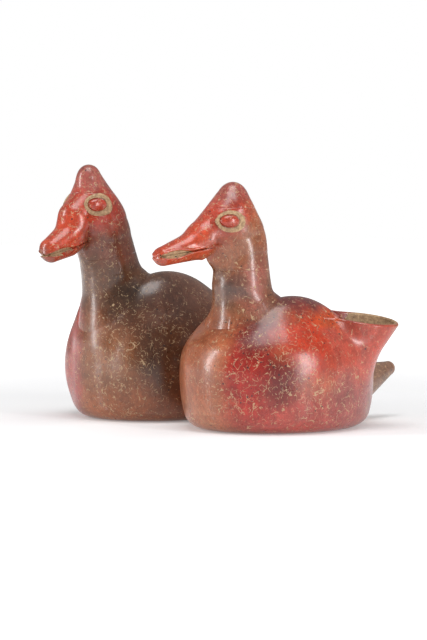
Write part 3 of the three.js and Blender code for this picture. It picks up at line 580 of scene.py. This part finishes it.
def into_head(duck, points):
    turn = duck["turn"]
    away = points - neck_point(duck, duck["neck"][3])
    return np.stack((away[:, 0] * math.cos(turn) + away[:, 1] * math.sin(turn),
                     away[:, 1] * math.cos(turn) - away[:, 0] * math.sin(turn), away[:, 2]), axis=1)


def from_head(duck, side, forward, rise):
    turn = duck["turn"]
    return neck_point(duck, duck["neck"][3]) + np.array((
        side * math.cos(turn) + forward * math.sin(turn),
        side * math.sin(turn) - forward * math.cos(turn), rise))


def roll(points, sizes):
    """A tapered roll of clay on the head: its breadth over its height, and its two ends."""
    width, start, end = sizes
    narrowed = points / np.array((width, 1.0, 1.0))
    return taper(narrowed, ahead(*start[:2]), ahead(*end[:2]), start[2], end[2])


def skull_surface(duck):
    stations = [neck_point(duck, station) for station in duck["neck"]]

    def distance(points):
        turned = into_head(duck, points)
        skull = duck["skull"]
        head = lobe(turned, ahead(skull["ahead"], skull["rise"]), skull["half"])
        head = smooth_join(head, roll(turned, duck["crest"]), head_blend)
        head = smooth_join(head, roll(turned, duck["brow"]), head_blend)
        neck = np.full(len(points), np.inf)
        for lower in range(3):
            sizes = duck["neck"][lower][2], duck["neck"][lower + 1][2]
            neck = np.minimum(neck, taper(points, stations[lower], stations[lower + 1], *sizes))
        throat_ahead, throat_rise, throat_radius = duck["throat"]
        throat = np.linalg.norm(turned - ahead(throat_ahead, throat_rise), axis=1) - throat_radius
        return smooth_join(smooth_join(head, neck, head_blend), throat, throat_blend)

    return distance


def standing(under, limb, reach):
    """Clay smoothed on to other clay: beyond the fillet it sinks away under it."""
    beyond = np.maximum(limb - 0.9 * reach, 0)
    return smooth_join(under + feather + 0.3 * beyond, limb, reach)


def neck_axis(duck):
    low, middle, high, top = duck["neck"]
    foot = neck_point(duck, low)
    rise = top[1] - neck_seam_drop
    lean = middle[0] + (high[0] - middle[0]) * (rise - middle[1]) / (high[1] - middle[1])
    seam = ahead(lean, duck["body"][2] + rise)
    axis = (seam - foot) / np.linalg.norm(seam - foot)
    return foot, seam, axis


def neck_root(duck):
    foot, seam, axis = neck_axis(duck)
    around = np.linspace(0, 2 * math.pi, 24, endpoint=False)
    reach = duck["neck"][0][2] + wall / 2
    above = np.stack((np.cos(around) * reach, foot[1] + np.sin(around) * reach, 0 * around + seam[2]), axis=1)
    height = meet(body_surface(duck), above, np.tile(downward, (24, 1)))[:, 2].max() + neck_root_rise
    return foot + axis * (height - foot[2]) / axis[2]


def square_to(axis, aside):
    across = aside - axis * (aside @ axis)
    across = across / np.linalg.norm(across)
    return across, np.cross(axis, across)


def limb(surface, duck, start, root, inside, columns, rows, aside, skew=0.0, fan=76.0):
    """A limb of clay: rays from its axis meet its surface, then fan out beyond its root on to the clay
    that it stands on. rows are those of its rounded tip, of its length and of its fan."""
    clay = bmesh.new()
    tip_rows, length_rows, fan_rows = rows
    verts, ring, turn = ball_of_rings(clay, columns, sum(rows) + 2 - bool(tip_rows))
    axis = (root - start) / np.linalg.norm(root - start)
    across, around = square_to(axis, aside)
    outward = np.cos(turn)[:, None] * across + np.sin(turn)[:, None] * around
    first = max(tip_rows, 1)
    share = np.clip((ring - first) / length_rows, 0, 1)
    centres = start + share[:, None] * (root - start) + axis * (skew * np.cos(turn) * share)[:, None]
    tip_lean = -math.pi / 2 * (1 - ring / first) if tip_rows else 0 * ring
    fan_lean = math.radians(fan) * (ring - first - length_rows) / fan_rows
    lean = np.where(ring < first, tip_lean, np.maximum(fan_lean, 0))
    directions = outward * np.cos(lean)[:, None] + axis * np.sin(lean)[:, None]
    edges = meet(surface, centres, outward)
    origins = np.where((fan_lean > 0)[:, None], centres + (edges - centres) * 0.8, centres)
    points = meet(surface, origins, directions)
    if not tip_rows:
        points[ring == 0] = start
    points[ring == ring.max()] = inside
    lay(verts, points, duck)
    return clay


def neck_clay(duck):
    body, skull = body_surface(duck), skull_surface(duck)
    foot, seam, axis = neck_axis(duck)
    inside = foot + axis * (bowl_height - foot[2]) / axis[2]

    def surface(points):
        return standing(body(points), skull(points), neck_blend)

    return limb(surface, duck, seam, neck_root(duck), inside, 192, (0, 44, 44), ahead(1, 0), neck_skew)


set_down(neck_clay(near), "near_neck", [near_slip])

# The near duck's head: a hollow knob of clay that carries on the neck's tube, with the brow drawn
# forward to the root of the bill.


def stack_of_rings(duck, surface, centres, rises, ring_frames, columns, cap):
    """Closed clay from rings of rays: one ring to each centre, each with its own across and around."""
    clay = bmesh.new()
    verts, ring, turn = ball_of_rings(clay, columns, len(centres) + 1)
    row = np.clip(ring.astype(int) - 1, 0, len(centres) - 1)
    across, around = ring_frames
    level = np.cos(rises[row])[:, None]
    directions = level * (np.cos(turn)[:, None] * across[row] + np.sin(turn)[:, None] * around[row])
    directions[:, 2] += np.sin(rises[row])
    points = meet(surface, centres[row], directions, 1.5)
    points[ring == 0] = centres[0]
    last = meet(surface, centres[-1:], -downward[None], 1.5)[0] if cap == "round" else centres[-1]
    points[ring == ring.max()] = last
    lay(verts, points, duck)
    return clay


def along_path(stations, count):
    """Points spaced by height along a path of stations that rises."""
    stations = np.array(stations)
    heights = np.linspace(stations[0, 2], stations[-1, 2], count)
    return np.stack([np.interp(heights, stations[:, 2], stations[:, side]) for side in range(3)], axis=1)


def head_clay(duck):
    foot, seam, axis = neck_axis(duck)
    skull, crest = duck["skull"], duck["crest"]
    half_height = skull["half"][2]
    centres = along_path([
        seam,
        (neck_point(duck, duck["neck"][3]) + seam) / 2,
        from_head(duck, 0, skull["ahead"], skull["rise"] - half_height / 2),
        from_head(duck, 0, skull["ahead"], skull["rise"]),
        from_head(duck, 0, (skull["ahead"] + crest[1][0]) / 2, skull["rise"] + half_height / 2),
        from_head(duck, 0, crest[1][0], duck["crest_seam"]),
    ], 72)
    square_across, square_around = square_to(-axis, ahead(1, 0))
    level_across, level_around = square_to(downward, ahead(1, 0))
    share = np.clip(np.arange(72) / 12, 0, 1)[:, None]
    frames = (square_across * (1 - share) + level_across * share,
              square_around * (1 - share) + level_around * share)
    return stack_of_rings(duck, skull_surface(duck), centres, np.zeros(72), frames, 192, "flat")


head_slip = clay_material("head_slip", 0.28, coat=0.35)
set_down(head_clay(near), "near_head", [head_slip])

# The near duck's crest: clay pinched up into a blunt point on top of the head, and smoothed into it.


def crest_clay(duck):
    tip_sizes = duck["crest"][2]
    base = from_head(duck, 0, duck["crest"][1][0], duck["crest_seam"])
    tip = from_head(duck, 0, tip_sizes[0], tip_sizes[1])
    centres = np.concatenate((along_path([base, tip], 20), np.tile(tip, (30, 1))))
    rises = np.concatenate((np.zeros(20), np.arange(1, 31) / 31 * math.pi / 2))
    level_across, level_around = square_to(downward, ahead(1, 0))
    frames = (np.tile(level_across, (50, 1)), np.tile(level_around, (50, 1)))
    return stack_of_rings(duck, skull_surface(duck), centres, rises, frames, 192, "round")


set_down(crest_clay(near), "near_crest", [head_slip])

# The near duck's upper bill: a tapered roll of clay luted on to the brow. A groove cut round the bill
# parts it from the lower bill.
near["bill"] = (1.25, (25.0, 1.5, 11.0), (69.4, -13.8, 5.5))
near["jaw"] = (1.25, (21.0, -7.5, 7.5), (68.4, -15.2, 4.0))
near["mouth"] = {"corner": (37.0, -8.8), "tip": (77.0, -13.6), "open": 2.6}
bill_blend = 10.0
mouth_depth = 1.9
mouth_swell = 2.2
lip_rounding = 1.0
closed_tip = 1.4


def bill_forms(duck):
    """The uncut bill on the skull, and the bill with its mouth: two surfaces."""
    skull = skull_surface(duck)
    corner, tip = (np.array(duck["mouth"][end]) for end in ("corner", "tip"))
    tip = tip - (0, duck["mouth"]["open"] / 2)
    line = (tip - corner) / np.linalg.norm(tip - corner)
    length = np.linalg.norm(tip - corner)
    closed = (duck["bill"][2][0] + duck["bill"][2][2] - closed_tip - corner[0]) / line[0]

    def uncut(points):
        turned = into_head(duck, points)
        bill = smooth_join(roll(turned, duck["bill"]), roll(turned, duck["jaw"]), bill_blend)
        return standing(skull(points), bill, bill_blend)

    def mouth(points):
        turned = into_head(duck, points)
        forward = -turned[:, 1] - corner[0]
        share = (forward * line[0] + (turned[:, 2] - corner[1]) * line[1]) / length
        off = np.abs((turned[:, 2] - corner[1]) * line[0] - forward * line[1])
        gap = 0.3 + mouth_swell * np.sin(math.pi * np.clip((share - 0.33) / 0.66, 0, 1))
        return share, off, gap

    def cut(points):
        whole = uncut(points)
        share, off, gap = mouth(points)
        along_lip = np.clip(share * 6, 0, 1) * np.clip(9 - share * 8, 0, 1)
        lip = 0.5 * np.exp(-((off - gap - 1.1) / 0.9) ** 2) * along_lip
        slit = np.maximum(off - gap, -(whole + mouth_depth))
        groove = np.maximum(off - 0.35, -(whole + mouth_depth + 1.6))
        slit = np.maximum(np.minimum(slit, groove), -share * length)
        slit = np.maximum(slit, share * length - closed)
        return -smooth_join(-(whole - lip), slit, lip_rounding)

    return uncut, cut, mouth


def bill_clay(duck):
    bill, jaw, brow = duck["bill"], duck["jaw"], duck["brow"]
    tip = (np.array(bill[2][:2]) + np.array(jaw[2][:2])) / 2
    start = (np.array(bill[1][:2]) + np.array(jaw[1][:2])) / 2
    root_ahead = brow[2][0] + brow[2][2]
    root_rise = start[1] + (tip[1] - start[1]) * (root_ahead - start[0]) / (tip[0] - start[0])
    root = from_head(duck, 0, root_ahead, root_rise)
    inside = from_head(duck, 0, duck["skull"]["ahead"], start[1])
    return limb(bill_forms(duck)[1], duck, from_head(duck, 0, *tip), root, inside, 264, (30, 120, 32),
                -downward, fan=58.0)


def inside_mouth(duck):
    """Says which faces lie in the open mouth, where the clay was left without slip."""
    uncut, _, mouth = bill_forms(duck)

    def bare(middles):
        points = middles - duck["place"]
        share, off, gap = mouth(points)
        return (uncut(points) < -0.75) & (share > 0.3) & (off < gap + 0.4) & (uncut(points) > -3.6)

    return bare


def mouth_plane(duck):
    corner, tip = duck["mouth"]["corner"], duck["mouth"]["tip"]
    drop = duck["mouth"]["open"] / 2
    place = from_head(duck, 0, *corner)
    along = from_head(duck, 0, tip[0], tip[1] - drop) - place
    across = from_head(duck, 1, 0, 0) - from_head(duck, 0, 0, 0)
    above = np.cross(along, across)
    above = above / np.linalg.norm(above) * np.sign(above[2])
    forward = from_head(duck, 0, 1, 0) - from_head(duck, 0, 0, 0)
    return place, above, forward


def lower_bill_clay(duck):
    clay = bill_clay(duck)
    place, above, forward = mouth_plane(duck)
    for plane, outer in ((above, True), (forward, False)):
        everything = clay.verts[:] + clay.edges[:] + clay.faces[:]
        cut = bmesh.ops.bisect_plane(clay, geom=everything, plane_co=(place + duck["place"]) / 1000,
                                     plane_no=plane, clear_outer=outer, clear_inner=not outer)
        edges = [item for item in cut["geom_cut"] if isinstance(item, bmesh.types.BMEdge)]
        for edge in edges:
            edge.smooth = False
        bmesh.ops.edgeloop_fill(clay, edges=edges)
    return clay


def under_mouth(duck):
    """The room that the lower bill takes: below the mouth's line and ahead of its corner."""
    room = bmesh.new()
    place, above, forward = mouth_plane(duck)
    across = np.cross(above, forward)
    slant = np.cross(across, above)
    corners = [place + across * side * 60 + reach for side in (-1, 1)
               for reach in (still, slant * 90, slant * 90 + downward * 90, downward * 90)]
    verts = [room.verts.new((corner + duck["place"]) / 1000) for corner in corners]
    bmesh.ops.convex_hull(room, input=verts)
    return room


near_upper_bill = set_down(bill_clay(near), "near_upper_bill", [head_slip, worn_clay],
                           inside_mouth(near))
cut_away(near_upper_bill, under_mouth(near))

# The near duck's lower bill: the strip of clay under the groove. It was cut free from the upper bill and
# parts a little from it, so that the mouth stands open and shows clay without slip.
set_down(lower_bill_clay(near), "near_lower_bill", [head_slip, worn_clay],
         inside_mouth(near))

# The near duck's eyes: on each cheek a pellet of clay, rolled, pressed flat into an oval and burnished
# with the head. It bulges from the cheek.
near["eye"] = {"ahead": 20.5, "rise": 12.0, "half_length": 6.8, "half_height": 4.6, "bulge": 3.6,
               "gap": 0.5, "radius": 1.75, "point": 1.8}


def on_cheek(duck, side, spots):
    """Lays spots of clay on the cheek along rays that fan out from under the eye."""
    surface = skull_surface(duck)
    origin = from_head(duck, 0, 0, 0)
    outward = from_head(duck, side, 0, 0) - origin
    forward = from_head(duck, 0, 1, 0) - origin
    under = from_head(duck, 0, duck["eye"]["ahead"], duck["eye"]["rise"])
    depth = np.linalg.norm(meet(surface, under[None], outward[None], 1.0)[0] - under)
    toward = outward * depth + spots[:, :1] * forward + spots[:, 1:2] * -downward
    toward = toward / np.linalg.norm(toward, axis=1)[:, None]
    return meet(surface, np.tile(under, (len(spots), 1)), toward, 1.0) + toward * spots[:, 2:]


def pellet_clay(duck, side):
    clay = bmesh.new()
    verts = bmesh.ops.create_uvsphere(clay, u_segments=48, v_segments=32, radius=1)["verts"]
    eye = duck["eye"]
    spots = np.array([vert.co[:] for vert in verts])
    spots = spots * (eye["half_length"], eye["half_height"], eye["bulge"])
    lay(verts, on_cheek(duck, side, spots), duck)
    return clay


for side_name, side in (("left", 1), ("right", -1)):
    set_down(pellet_clay(near, side), f"near_{side_name}_eye_pellet", [head_slip])

# The near duck's eye rings: a thin coil pressed on round each pellet, with lines cut along it, drawn out
# to a point in front. Its slip is worn to the bare tan clay.


def hoop_of_rings(clay, radius, thickness, columns, rows):
    """Adds a closed hoop about Z."""
    upright = Matrix.Translation((radius, 0, 0)) @ Matrix.Rotation(math.pi / 2, 4, "X")
    round_form = bmesh.ops.create_circle(clay, segments=rows, radius=thickness, matrix=upright)
    bmesh.ops.spin(clay, geom=round_form["verts"] + clay.edges[:], cent=(0, 0, 0), axis=(0, 0, 1),
                   dvec=(0, 0, 0), angle=2 * math.pi, steps=columns, use_merge=True)
    return clay.verts[:]


def ring_clay(duck, side):
    clay = bmesh.new()
    eye = duck["eye"]
    middle = eye["half_length"] + eye["gap"] + eye["radius"]
    verts = hoop_of_rings(clay, middle, eye["radius"], 144, 36)
    spots = np.array([vert.co[:] for vert in verts])
    reach = np.hypot(spots[:, 0], spots[:, 1])
    spots[:, 1] -= (eye["half_length"] - eye["half_height"]) * spots[:, 1] / reach
    band = reach - middle
    spots[:, 2] = spots[:, 2] * 0.55 + eye["radius"] * 0.1
    spots[:, 2] += 0.22 * np.cos(band / eye["radius"] * 2.2 * math.pi) * (spots[:, 2] > 0)
    bearing = np.arctan2(spots[:, 1], spots[:, 0])
    spots[:, 0] += eye["point"] * np.exp(-(bearing / 0.32) ** 2) * (0.5 + 0.5 * band / eye["radius"])
    lay(verts, on_cheek(duck, side, spots), duck)
    return clay


for side_name, side in (("left", 1), ("right", -1)):
    set_down(ring_clay(near, side), f"near_{side_name}_eye_ring", [worn_clay])

# The near duck's tail: a small solid cone of clay luted on behind and smoothed into the bowl. Its slip
# is rubbed brown.
tail_root = (27.5, 18.5)
tail_tip = (39.5, 6.0)
tail_length = 47.7
tail_depth = 12.0
tail_blend = 5.0


def tail_clay(duck):
    body = body_surface(duck)
    half_length = duck["body"][1]
    start = np.array((0, half_length, tail_root[0]))
    end = np.array((0, half_length + tail_length - tail_tip[1], tail_tip[0]))

    def surface(points):
        return standing(body(points), taper(points, start, end, tail_root[1], tail_tip[1]), tail_blend)

    share = 1 - wall / (end[1] - start[1])
    inside = np.array((0, half_length - tail_depth, tail_root[0]))
    return limb(surface, duck, end, end + (start - end) * share, inside, 128, (20, 40, 24), -downward)


brown_slip = clay_material("brown_slip", 0.36, coat=0.2)
set_down(tail_clay(near), "near_tail", [brown_slip])

# The spout: a flared tube of clay with a rounded lip, luted on the near duck's left rump and open into
# the chamber. The slip ends at the lip, and the bore shows bare clay.
mouth_tilt = (-math.radians(1.2), math.radians(10.5))
spout_blend = 12.0
spout_skew = 16.0
spout_root_depth = 24.0
spout_flare = (spout_mouth_radius - spout_root_radius) / spout_length


def spout_tube(points):
    """The tube's outside, carried on past its mouth."""
    past = spout_mouth + spout_axis * spout_mouth_radius
    past_radius = spout_root_radius + spout_flare * np.linalg.norm(past - spout_root)
    return taper(points, spout_root, past, spout_root_radius, past_radius)


def spout_clay():
    clay = bmesh.new()
    columns, rows = 224, 132
    verts = hoop_of_rings(clay, 1, 0.5, columns, rows)
    places = np.array([vert.co[:] for vert in verts])
    turn = np.arctan2(places[:, 1], places[:, 0])
    way = np.arctan2(places[:, 2], np.hypot(places[:, 0], places[:, 1]) - 1) / (2 * math.pi) * rows
    way = np.rint(way) % rows
    body = body_surface(near)

    def surface(points):
        return standing(body(points), spout_tube(points), spout_blend)

    aside = np.array((spout_axis[0], spout_axis[1], 0.0))
    across, around = square_to(-spout_axis, aside)
    tilt = Matrix.Rotation(mouth_tilt[1], 3, "Y") @ Matrix.Rotation(mouth_tilt[0], 3, "X")
    mouth_normal = np.array(tilt @ Vector((0, 0, 1)))
    mouth_across, mouth_around = square_to(-mouth_normal, aside)
    below = spout_mouth - spout_axis * spout_root_depth
    fan_rows, wall_rows, lip_rows = 40, 36, 16
    lip_half = spout_lip / 2
    lift = np.clip((way - fan_rows) / wall_rows, 0, 1)[:, None]
    outward = (np.cos(turn)[:, None] * (across * (1 - lift) + mouth_across * lift)
               + np.sin(turn)[:, None] * (around * (1 - lift) + mouth_around * lift))
    outward = outward / np.linalg.norm(outward, axis=1)[:, None]
    top = spout_mouth - mouth_normal * lip_half
    skew = spout_skew * np.cos(turn) * (1 - lift[:, 0])
    centres = below + lift * (top - below) - spout_axis * skew[:, None]
    edges = meet(surface, centres, outward, 1.5)
    lean = np.radians(74) * np.clip(1 - way / fan_rows, 0, 1)
    fanning = (lean > 0)[:, None]
    directions = outward * np.cos(lean)[:, None] - spout_axis * np.sin(lean)[:, None]
    origins = np.where(fanning, centres + (edges - centres) * 0.8, centres)
    points = np.where(fanning, meet(surface, origins, directions, 1.5), edges)
    lip_start = fan_rows + wall_rows
    bend = np.clip((way - lip_start) / lip_rows, 0, 1) * math.pi
    middle = edges - outward * lip_half
    lip = (middle + outward * (np.cos(bend) * lip_half)[:, None]
           + mouth_normal * (np.sin(bend) * lip_half)[:, None])
    points = np.where((way > lip_start)[:, None], lip, points)
    bore_start = lip_start + lip_rows
    inner = middle - outward * lip_half
    to_axis = inner - spout_root
    height = to_axis @ spout_axis
    radial = to_axis - height[:, None] * spout_axis
    radius = np.linalg.norm(radial, axis=1)
    narrowing = (radius - spout_root_radius + spout_lip) / height
    fall = -spout_axis - radial / radius[:, None] * narrowing[:, None]
    fall = fall / np.linalg.norm(fall, axis=1)[:, None]
    foot = meet(lambda points: body(points) + 0.4, inner, fall, 1.5)
    depth = np.clip((way - bore_start) / (rows - bore_start - 2), 0, 1)[:, None]
    points = np.where((way > bore_start)[:, None], inner + (foot - inner) * depth, points)
    lay(verts, points, near)
    return clay


def inside_spout(middles):
    """Says which faces lie in the bore, where no slip was laid."""
    points = middles - near["place"]
    height = (points - spout_root) @ spout_axis
    radial = np.linalg.norm(points - spout_root - height[:, None] * spout_axis, axis=1)
    return radial < spout_root_radius + spout_flare * height - spout_lip * 0.62


set_down(spout_clay(), "spout", [near_slip, worn_clay], inside_spout)

# The far duck's bowl: shaped by hand like the near one's, under a taller body. Its slip was fired to a
# chocolate brown. The sizes of the far duck's whole body stand here.
far = {
    "place": np.array((-69.094, -6.293, 0.0)),
    "body": (70.5, 77.0, 103.5),
    "depth": 81.5,
    "wing": {"inset": 15.0, "half": np.array((30.0, 58.0, 49.0)), "ahead": 6.5, "rise": 14.5, "slope": 27.0},
    "shoulder": {"inset": 7.5, "half": np.array((28.0, 36.0, 42.0)), "ahead": 30.0, "height": 42.5},
    "breast": (44.0, 34.0, 31.0),
    "joint": (math.cos(joint_turn), math.sin(joint_turn)),
    "joint_distance": 66.047,
}
far_slip = clay_material("far_slip", 0.30)
far_whole = whole_body(far)
set_down(body_half(far_whole, above=False), "far_body_bowl", [far_slip])

# The far duck's upper shell: the back with its folded wings, the shoulders and the breast, one smoothed
# wall over the bowl. No spout opens it.
set_down(body_half(far_whole, above=True), "far_body_upper", [far_slip])

# The far duck's neck: a hollow tube of clay, thicker than the near one's, luted on over the breast. The
# sizes of the head that it carries stand here too.
far["neck"] = ((49.0, -6.5, 25.0), (51.0, 13.5, 24.5), (58.5, 43.0, 22.0), (60.5, 55.5, 17.5))
far["turn"] = math.radians(9)
far["skull"] = {"ahead": 1.0, "rise": 3.5, "half": np.array((17.5, 18.0, 17.5))}
far["crest"] = (0.9, (6.5, 18.5, 13.0), (15.0, 37.0, 10.0))
far["brow"] = (1.05, (15.0, 15.5, 17.0), (33.5, 6.5, 11.0))
far["throat"] = (12.0, -20.5, 10.0)
far["crest_seam"] = 24.0
set_down(neck_clay(far), "far_neck", [far_slip])

# The far duck's head: a hollow knob of clay that carries on the neck's tube, turned a little to the
# duck's left.
set_down(head_clay(far), "far_head", [head_slip])

# The far duck's crest: clay pinched up into a blunt point on top of the head and leaning forward,
# smoothed into it.
set_down(crest_clay(far), "far_crest", [head_slip])

# The far duck's upper bill: a tapered roll of clay luted on to the brow, shorter and steeper than the
# near duck's. A groove parts it from the lower bill.
far["bill"] = (1.2, (26.5, -3.5, 13.0), (59.0, -18.3, 6.6))
far["jaw"] = (1.2, (20.0, -14.0, 8.0), (57.4, -24.6, 5.8))
far["mouth"] = {"corner": (32.0, -16.5), "tip": (66.5, -23.4), "open": 3.0}
far_upper_bill = set_down(bill_clay(far), "far_upper_bill", [head_slip, worn_clay],
                          inside_mouth(far))
cut_away(far_upper_bill, under_mouth(far))

# The far duck's lower bill: the strip of clay under the groove, with the mouth a little open between it
# and the upper bill.
set_down(lower_bill_clay(far), "far_lower_bill", [head_slip, worn_clay],
         inside_mouth(far))

# The far duck's eyes: on each cheek a pellet of clay, pressed flat into an oval and burnished with the
# head.
far["eye"] = {"ahead": 23.5, "rise": 15.0, "half_length": 6.8, "half_height": 4.8, "bulge": 3.6,
              "gap": 0.5, "radius": 2.0, "point": 0.3}
for side_name, side in (("left", 1), ("right", -1)):
    set_down(pellet_clay(far, side), f"far_{side_name}_eye_pellet", [head_slip])

# The far duck's eye rings: a coil of clay pressed on round each pellet, thicker than the near duck's, and
# worn to the bare tan clay.
for side_name, side in (("left", 1), ("right", -1)):
    set_down(ring_clay(far, side), f"far_{side_name}_eye_ring", [worn_clay])

# The far duck's tail: a small solid cone of clay like the near one's, luted on behind. The near duck
# hides it in the photograph.
set_down(tail_clay(far), "far_tail", [brown_slip])

# The join: a coil of clay pressed and smoothed into the valley all round where the two bodies meet, so
# that they hold together.
join_blend = 9.0
join_radius = 6.0


def join_clay():
    clay = bmesh.new()
    columns, rows = 320, 48
    verts = hoop_of_rings(clay, 1, 0.3, columns, rows)
    places = np.array([vert.co[:] for vert in verts])
    turn = np.arctan2(places[:, 1], places[:, 0])
    bend = np.arctan2(places[:, 2], np.hypot(places[:, 0], places[:, 1]) - 1)
    near_body, far_body = body_surface(near), body_surface(far)
    normal = np.array((-far["joint"][0], -far["joint"][1], 0.0))
    middle = far["place"] - normal * far["joint_distance"]
    middle[2] = girth_height
    along = np.cross(-downward, normal)

    def both(points):
        return np.maximum(near_body(points - near["place"]), far_body(points - far["place"]))

    def filled(points):
        first, second = near_body(points - near["place"]), far_body(points - far["place"])
        return smooth_join(first + feather + 0.3 * np.maximum(second - 0.9 * join_blend, 0),
                           second + feather + 0.3 * np.maximum(first - 0.9 * join_blend, 0), join_blend)

    outward = np.cos(turn)[:, None] * along + np.sin(turn)[:, None] * -downward
    centres = meet(both, np.tile(middle, (len(verts), 1)), outward)
    origins = centres - outward * join_radius
    directions = outward * np.cos(bend)[:, None] + normal * np.sin(bend)[:, None]
    laid = meet(filled, origins, directions, 1.0)
    reach = np.linalg.norm(laid - origins, axis=1)
    kept = np.where(np.abs(bend) > math.pi / 2, 1.5, np.minimum(reach, 16.0))
    points = origins + directions * kept[:, None]
    points[:, 2] = np.maximum(points[:, 2], 0.05)
    for vert, point in zip(verts, points / 1000):
        vert.co = point
    return clay


set_down(join_clay(), "join_coil", [far_slip])


def duck_form(duck, spouted):
    """The outside of one duck with all that is luted on to its body."""
    body, skull = body_surface(duck), skull_surface(duck)
    half_length = duck["body"][1]
    tail_start = np.array((0, half_length, tail_root[0]))
    tail_end = np.array((0, half_length + tail_length - tail_tip[1], tail_tip[0]))

    def distance(points):
        form = smooth_join(body(points), skull(points), neck_blend)
        form = smooth_join(form, taper(points, tail_start, tail_end, tail_root[1], tail_tip[1]), tail_blend)
        if spouted:
            form = smooth_join(form, spout_tube(points), spout_blend)
        return form

    return distance


near_form, far_form = duck_form(near, True), duck_form(far, False)
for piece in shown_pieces():
    duck = near if piece.name.startswith(("near", "spout")) else far
    if "eye" in piece.name:
        continue
    if "bill" in piece.name:
        form = bill_forms(duck)[1]
        face_outward(piece.data, lambda points: form(points - duck["place"]))
    else:
        face_outward(piece.data, vessel_surface)

# The floor: a wide pale board, faintly glossy, that fades into the white behind
floor_mesh = bmesh.new()
bmesh.ops.create_grid(floor_mesh, x_segments=1, y_segments=1, size=6)
mesh = bpy.data.meshes.new("floor")
floor_mesh.to_mesh(mesh)
floor_mesh.free()
floor = bpy.data.objects.new("floor", mesh)
bpy.context.scene.collection.objects.link(floor)
board = bpy.data.materials.new("pale_board")
board.use_nodes = True
tree = board.node_tree
shader = tree.nodes["Principled BSDF"]
shader.inputs["Base Color"].default_value = (0.86, 0.86, 0.87, 1)
shader.inputs["Roughness"].default_value = 0.5
shader.inputs["Specular IOR Level"].default_value = 0
spot = add(tree, "ShaderNodeTexCoord").outputs["Object"]
far_off = add(tree, "ShaderNodeVectorMath", {0: spot}, operation="LENGTH").outputs["Value"]
shader.inputs["Emission Color"].default_value = (1, 1, 1, 1)
tree.links.new(ramp(tree, far_off, 0.2, 1.2, 0.22, 1.0), shader.inputs["Emission Strength"])
gloss = add(tree, "ShaderNodeBsdfGlossy", {"Color": (0.9, 0.9, 0.9, 1), "Roughness": 0.12})
sheen = add(tree, "ShaderNodeMixShader", {0: 0.10, 1: shader.outputs[0], 2: gloss.outputs[0]})
tree.links.new(sheen.outputs[0], tree.nodes["Material Output"].inputs["Surface"])
mesh.materials.append(board)

# The studio: white all round, a tall soft box on each side of the camera and a wide one above
world = bpy.data.worlds.new("studio")
bpy.context.scene.world = world
world.use_nodes = True
tree = world.node_tree
ray = add(tree, "ShaderNodeLightPath").outputs
seen = add(tree, "ShaderNodeMath", {0: ray["Is Camera Ray"], 1: ray["Is Transmission Ray"]},
           operation="MAXIMUM")
strength = add(tree, "ShaderNodeMapRange", {"Value": seen.outputs[0], "To Min": 0.30, "To Max": 1.0})
tree.nodes["Background"].inputs["Color"].default_value = (1, 1, 1, 1)
tree.links.new(strength.outputs["Result"], tree.nodes["Background"].inputs["Strength"])
target = Vector((-0.005, -0.003, 0.08))
toward_camera = Vector((0.765, -0.642, 0.0))
to_right = Vector((0.643, 0.766, 0.0))
for name, turn, rise, distance, width, height, power in (
        ("right_box", 46, 0.30, 1.5, 0.22, 1.1, 13.0), ("left_box", -78, 0.40, 1.4, 0.22, 1.1, 11.0),
        ("top_box", 10, 1.5, 0.35, 0.9, 0.9, 13.0)):
    data = bpy.data.lights.new(name, "AREA")
    data.shape = "RECTANGLE"
    data.size, data.size_y, data.energy = width, height, power
    light = bpy.data.objects.new(name, data)
    bpy.context.scene.collection.objects.link(light)
    angle = math.radians(turn)
    light.location = target + (toward_camera * math.cos(angle) + to_right * math.sin(angle)) * distance
    light.location.z += rise
    light.rotation_euler = (target - light.location).to_track_quat("-Z", "Y").to_euler()

# The camera: a long lens, level with the vessel's middle
camera_data = bpy.data.cameras.new("camera")
camera_data.sensor_fit = "VERTICAL"
camera_data.sensor_height = 36
camera_data.lens = 118.6
camera_data.clip_end = 50
camera = bpy.data.objects.new("camera", camera_data)
bpy.context.scene.collection.objects.link(camera)
azimuth, elevation = math.radians(50), math.radians(3.15)
view = Vector((-math.sin(azimuth) * math.cos(elevation), math.cos(azimuth) * math.cos(elevation),
               -math.sin(elevation)))
camera.location = Vector((-0.00521, -0.00277, 0.081)) - view * 1.7
camera.rotation_euler = view.to_track_quat("-Z", "Y").to_euler()
bpy.context.scene.camera = camera
bpy.context.scene.view_settings.view_transform = "Standard"
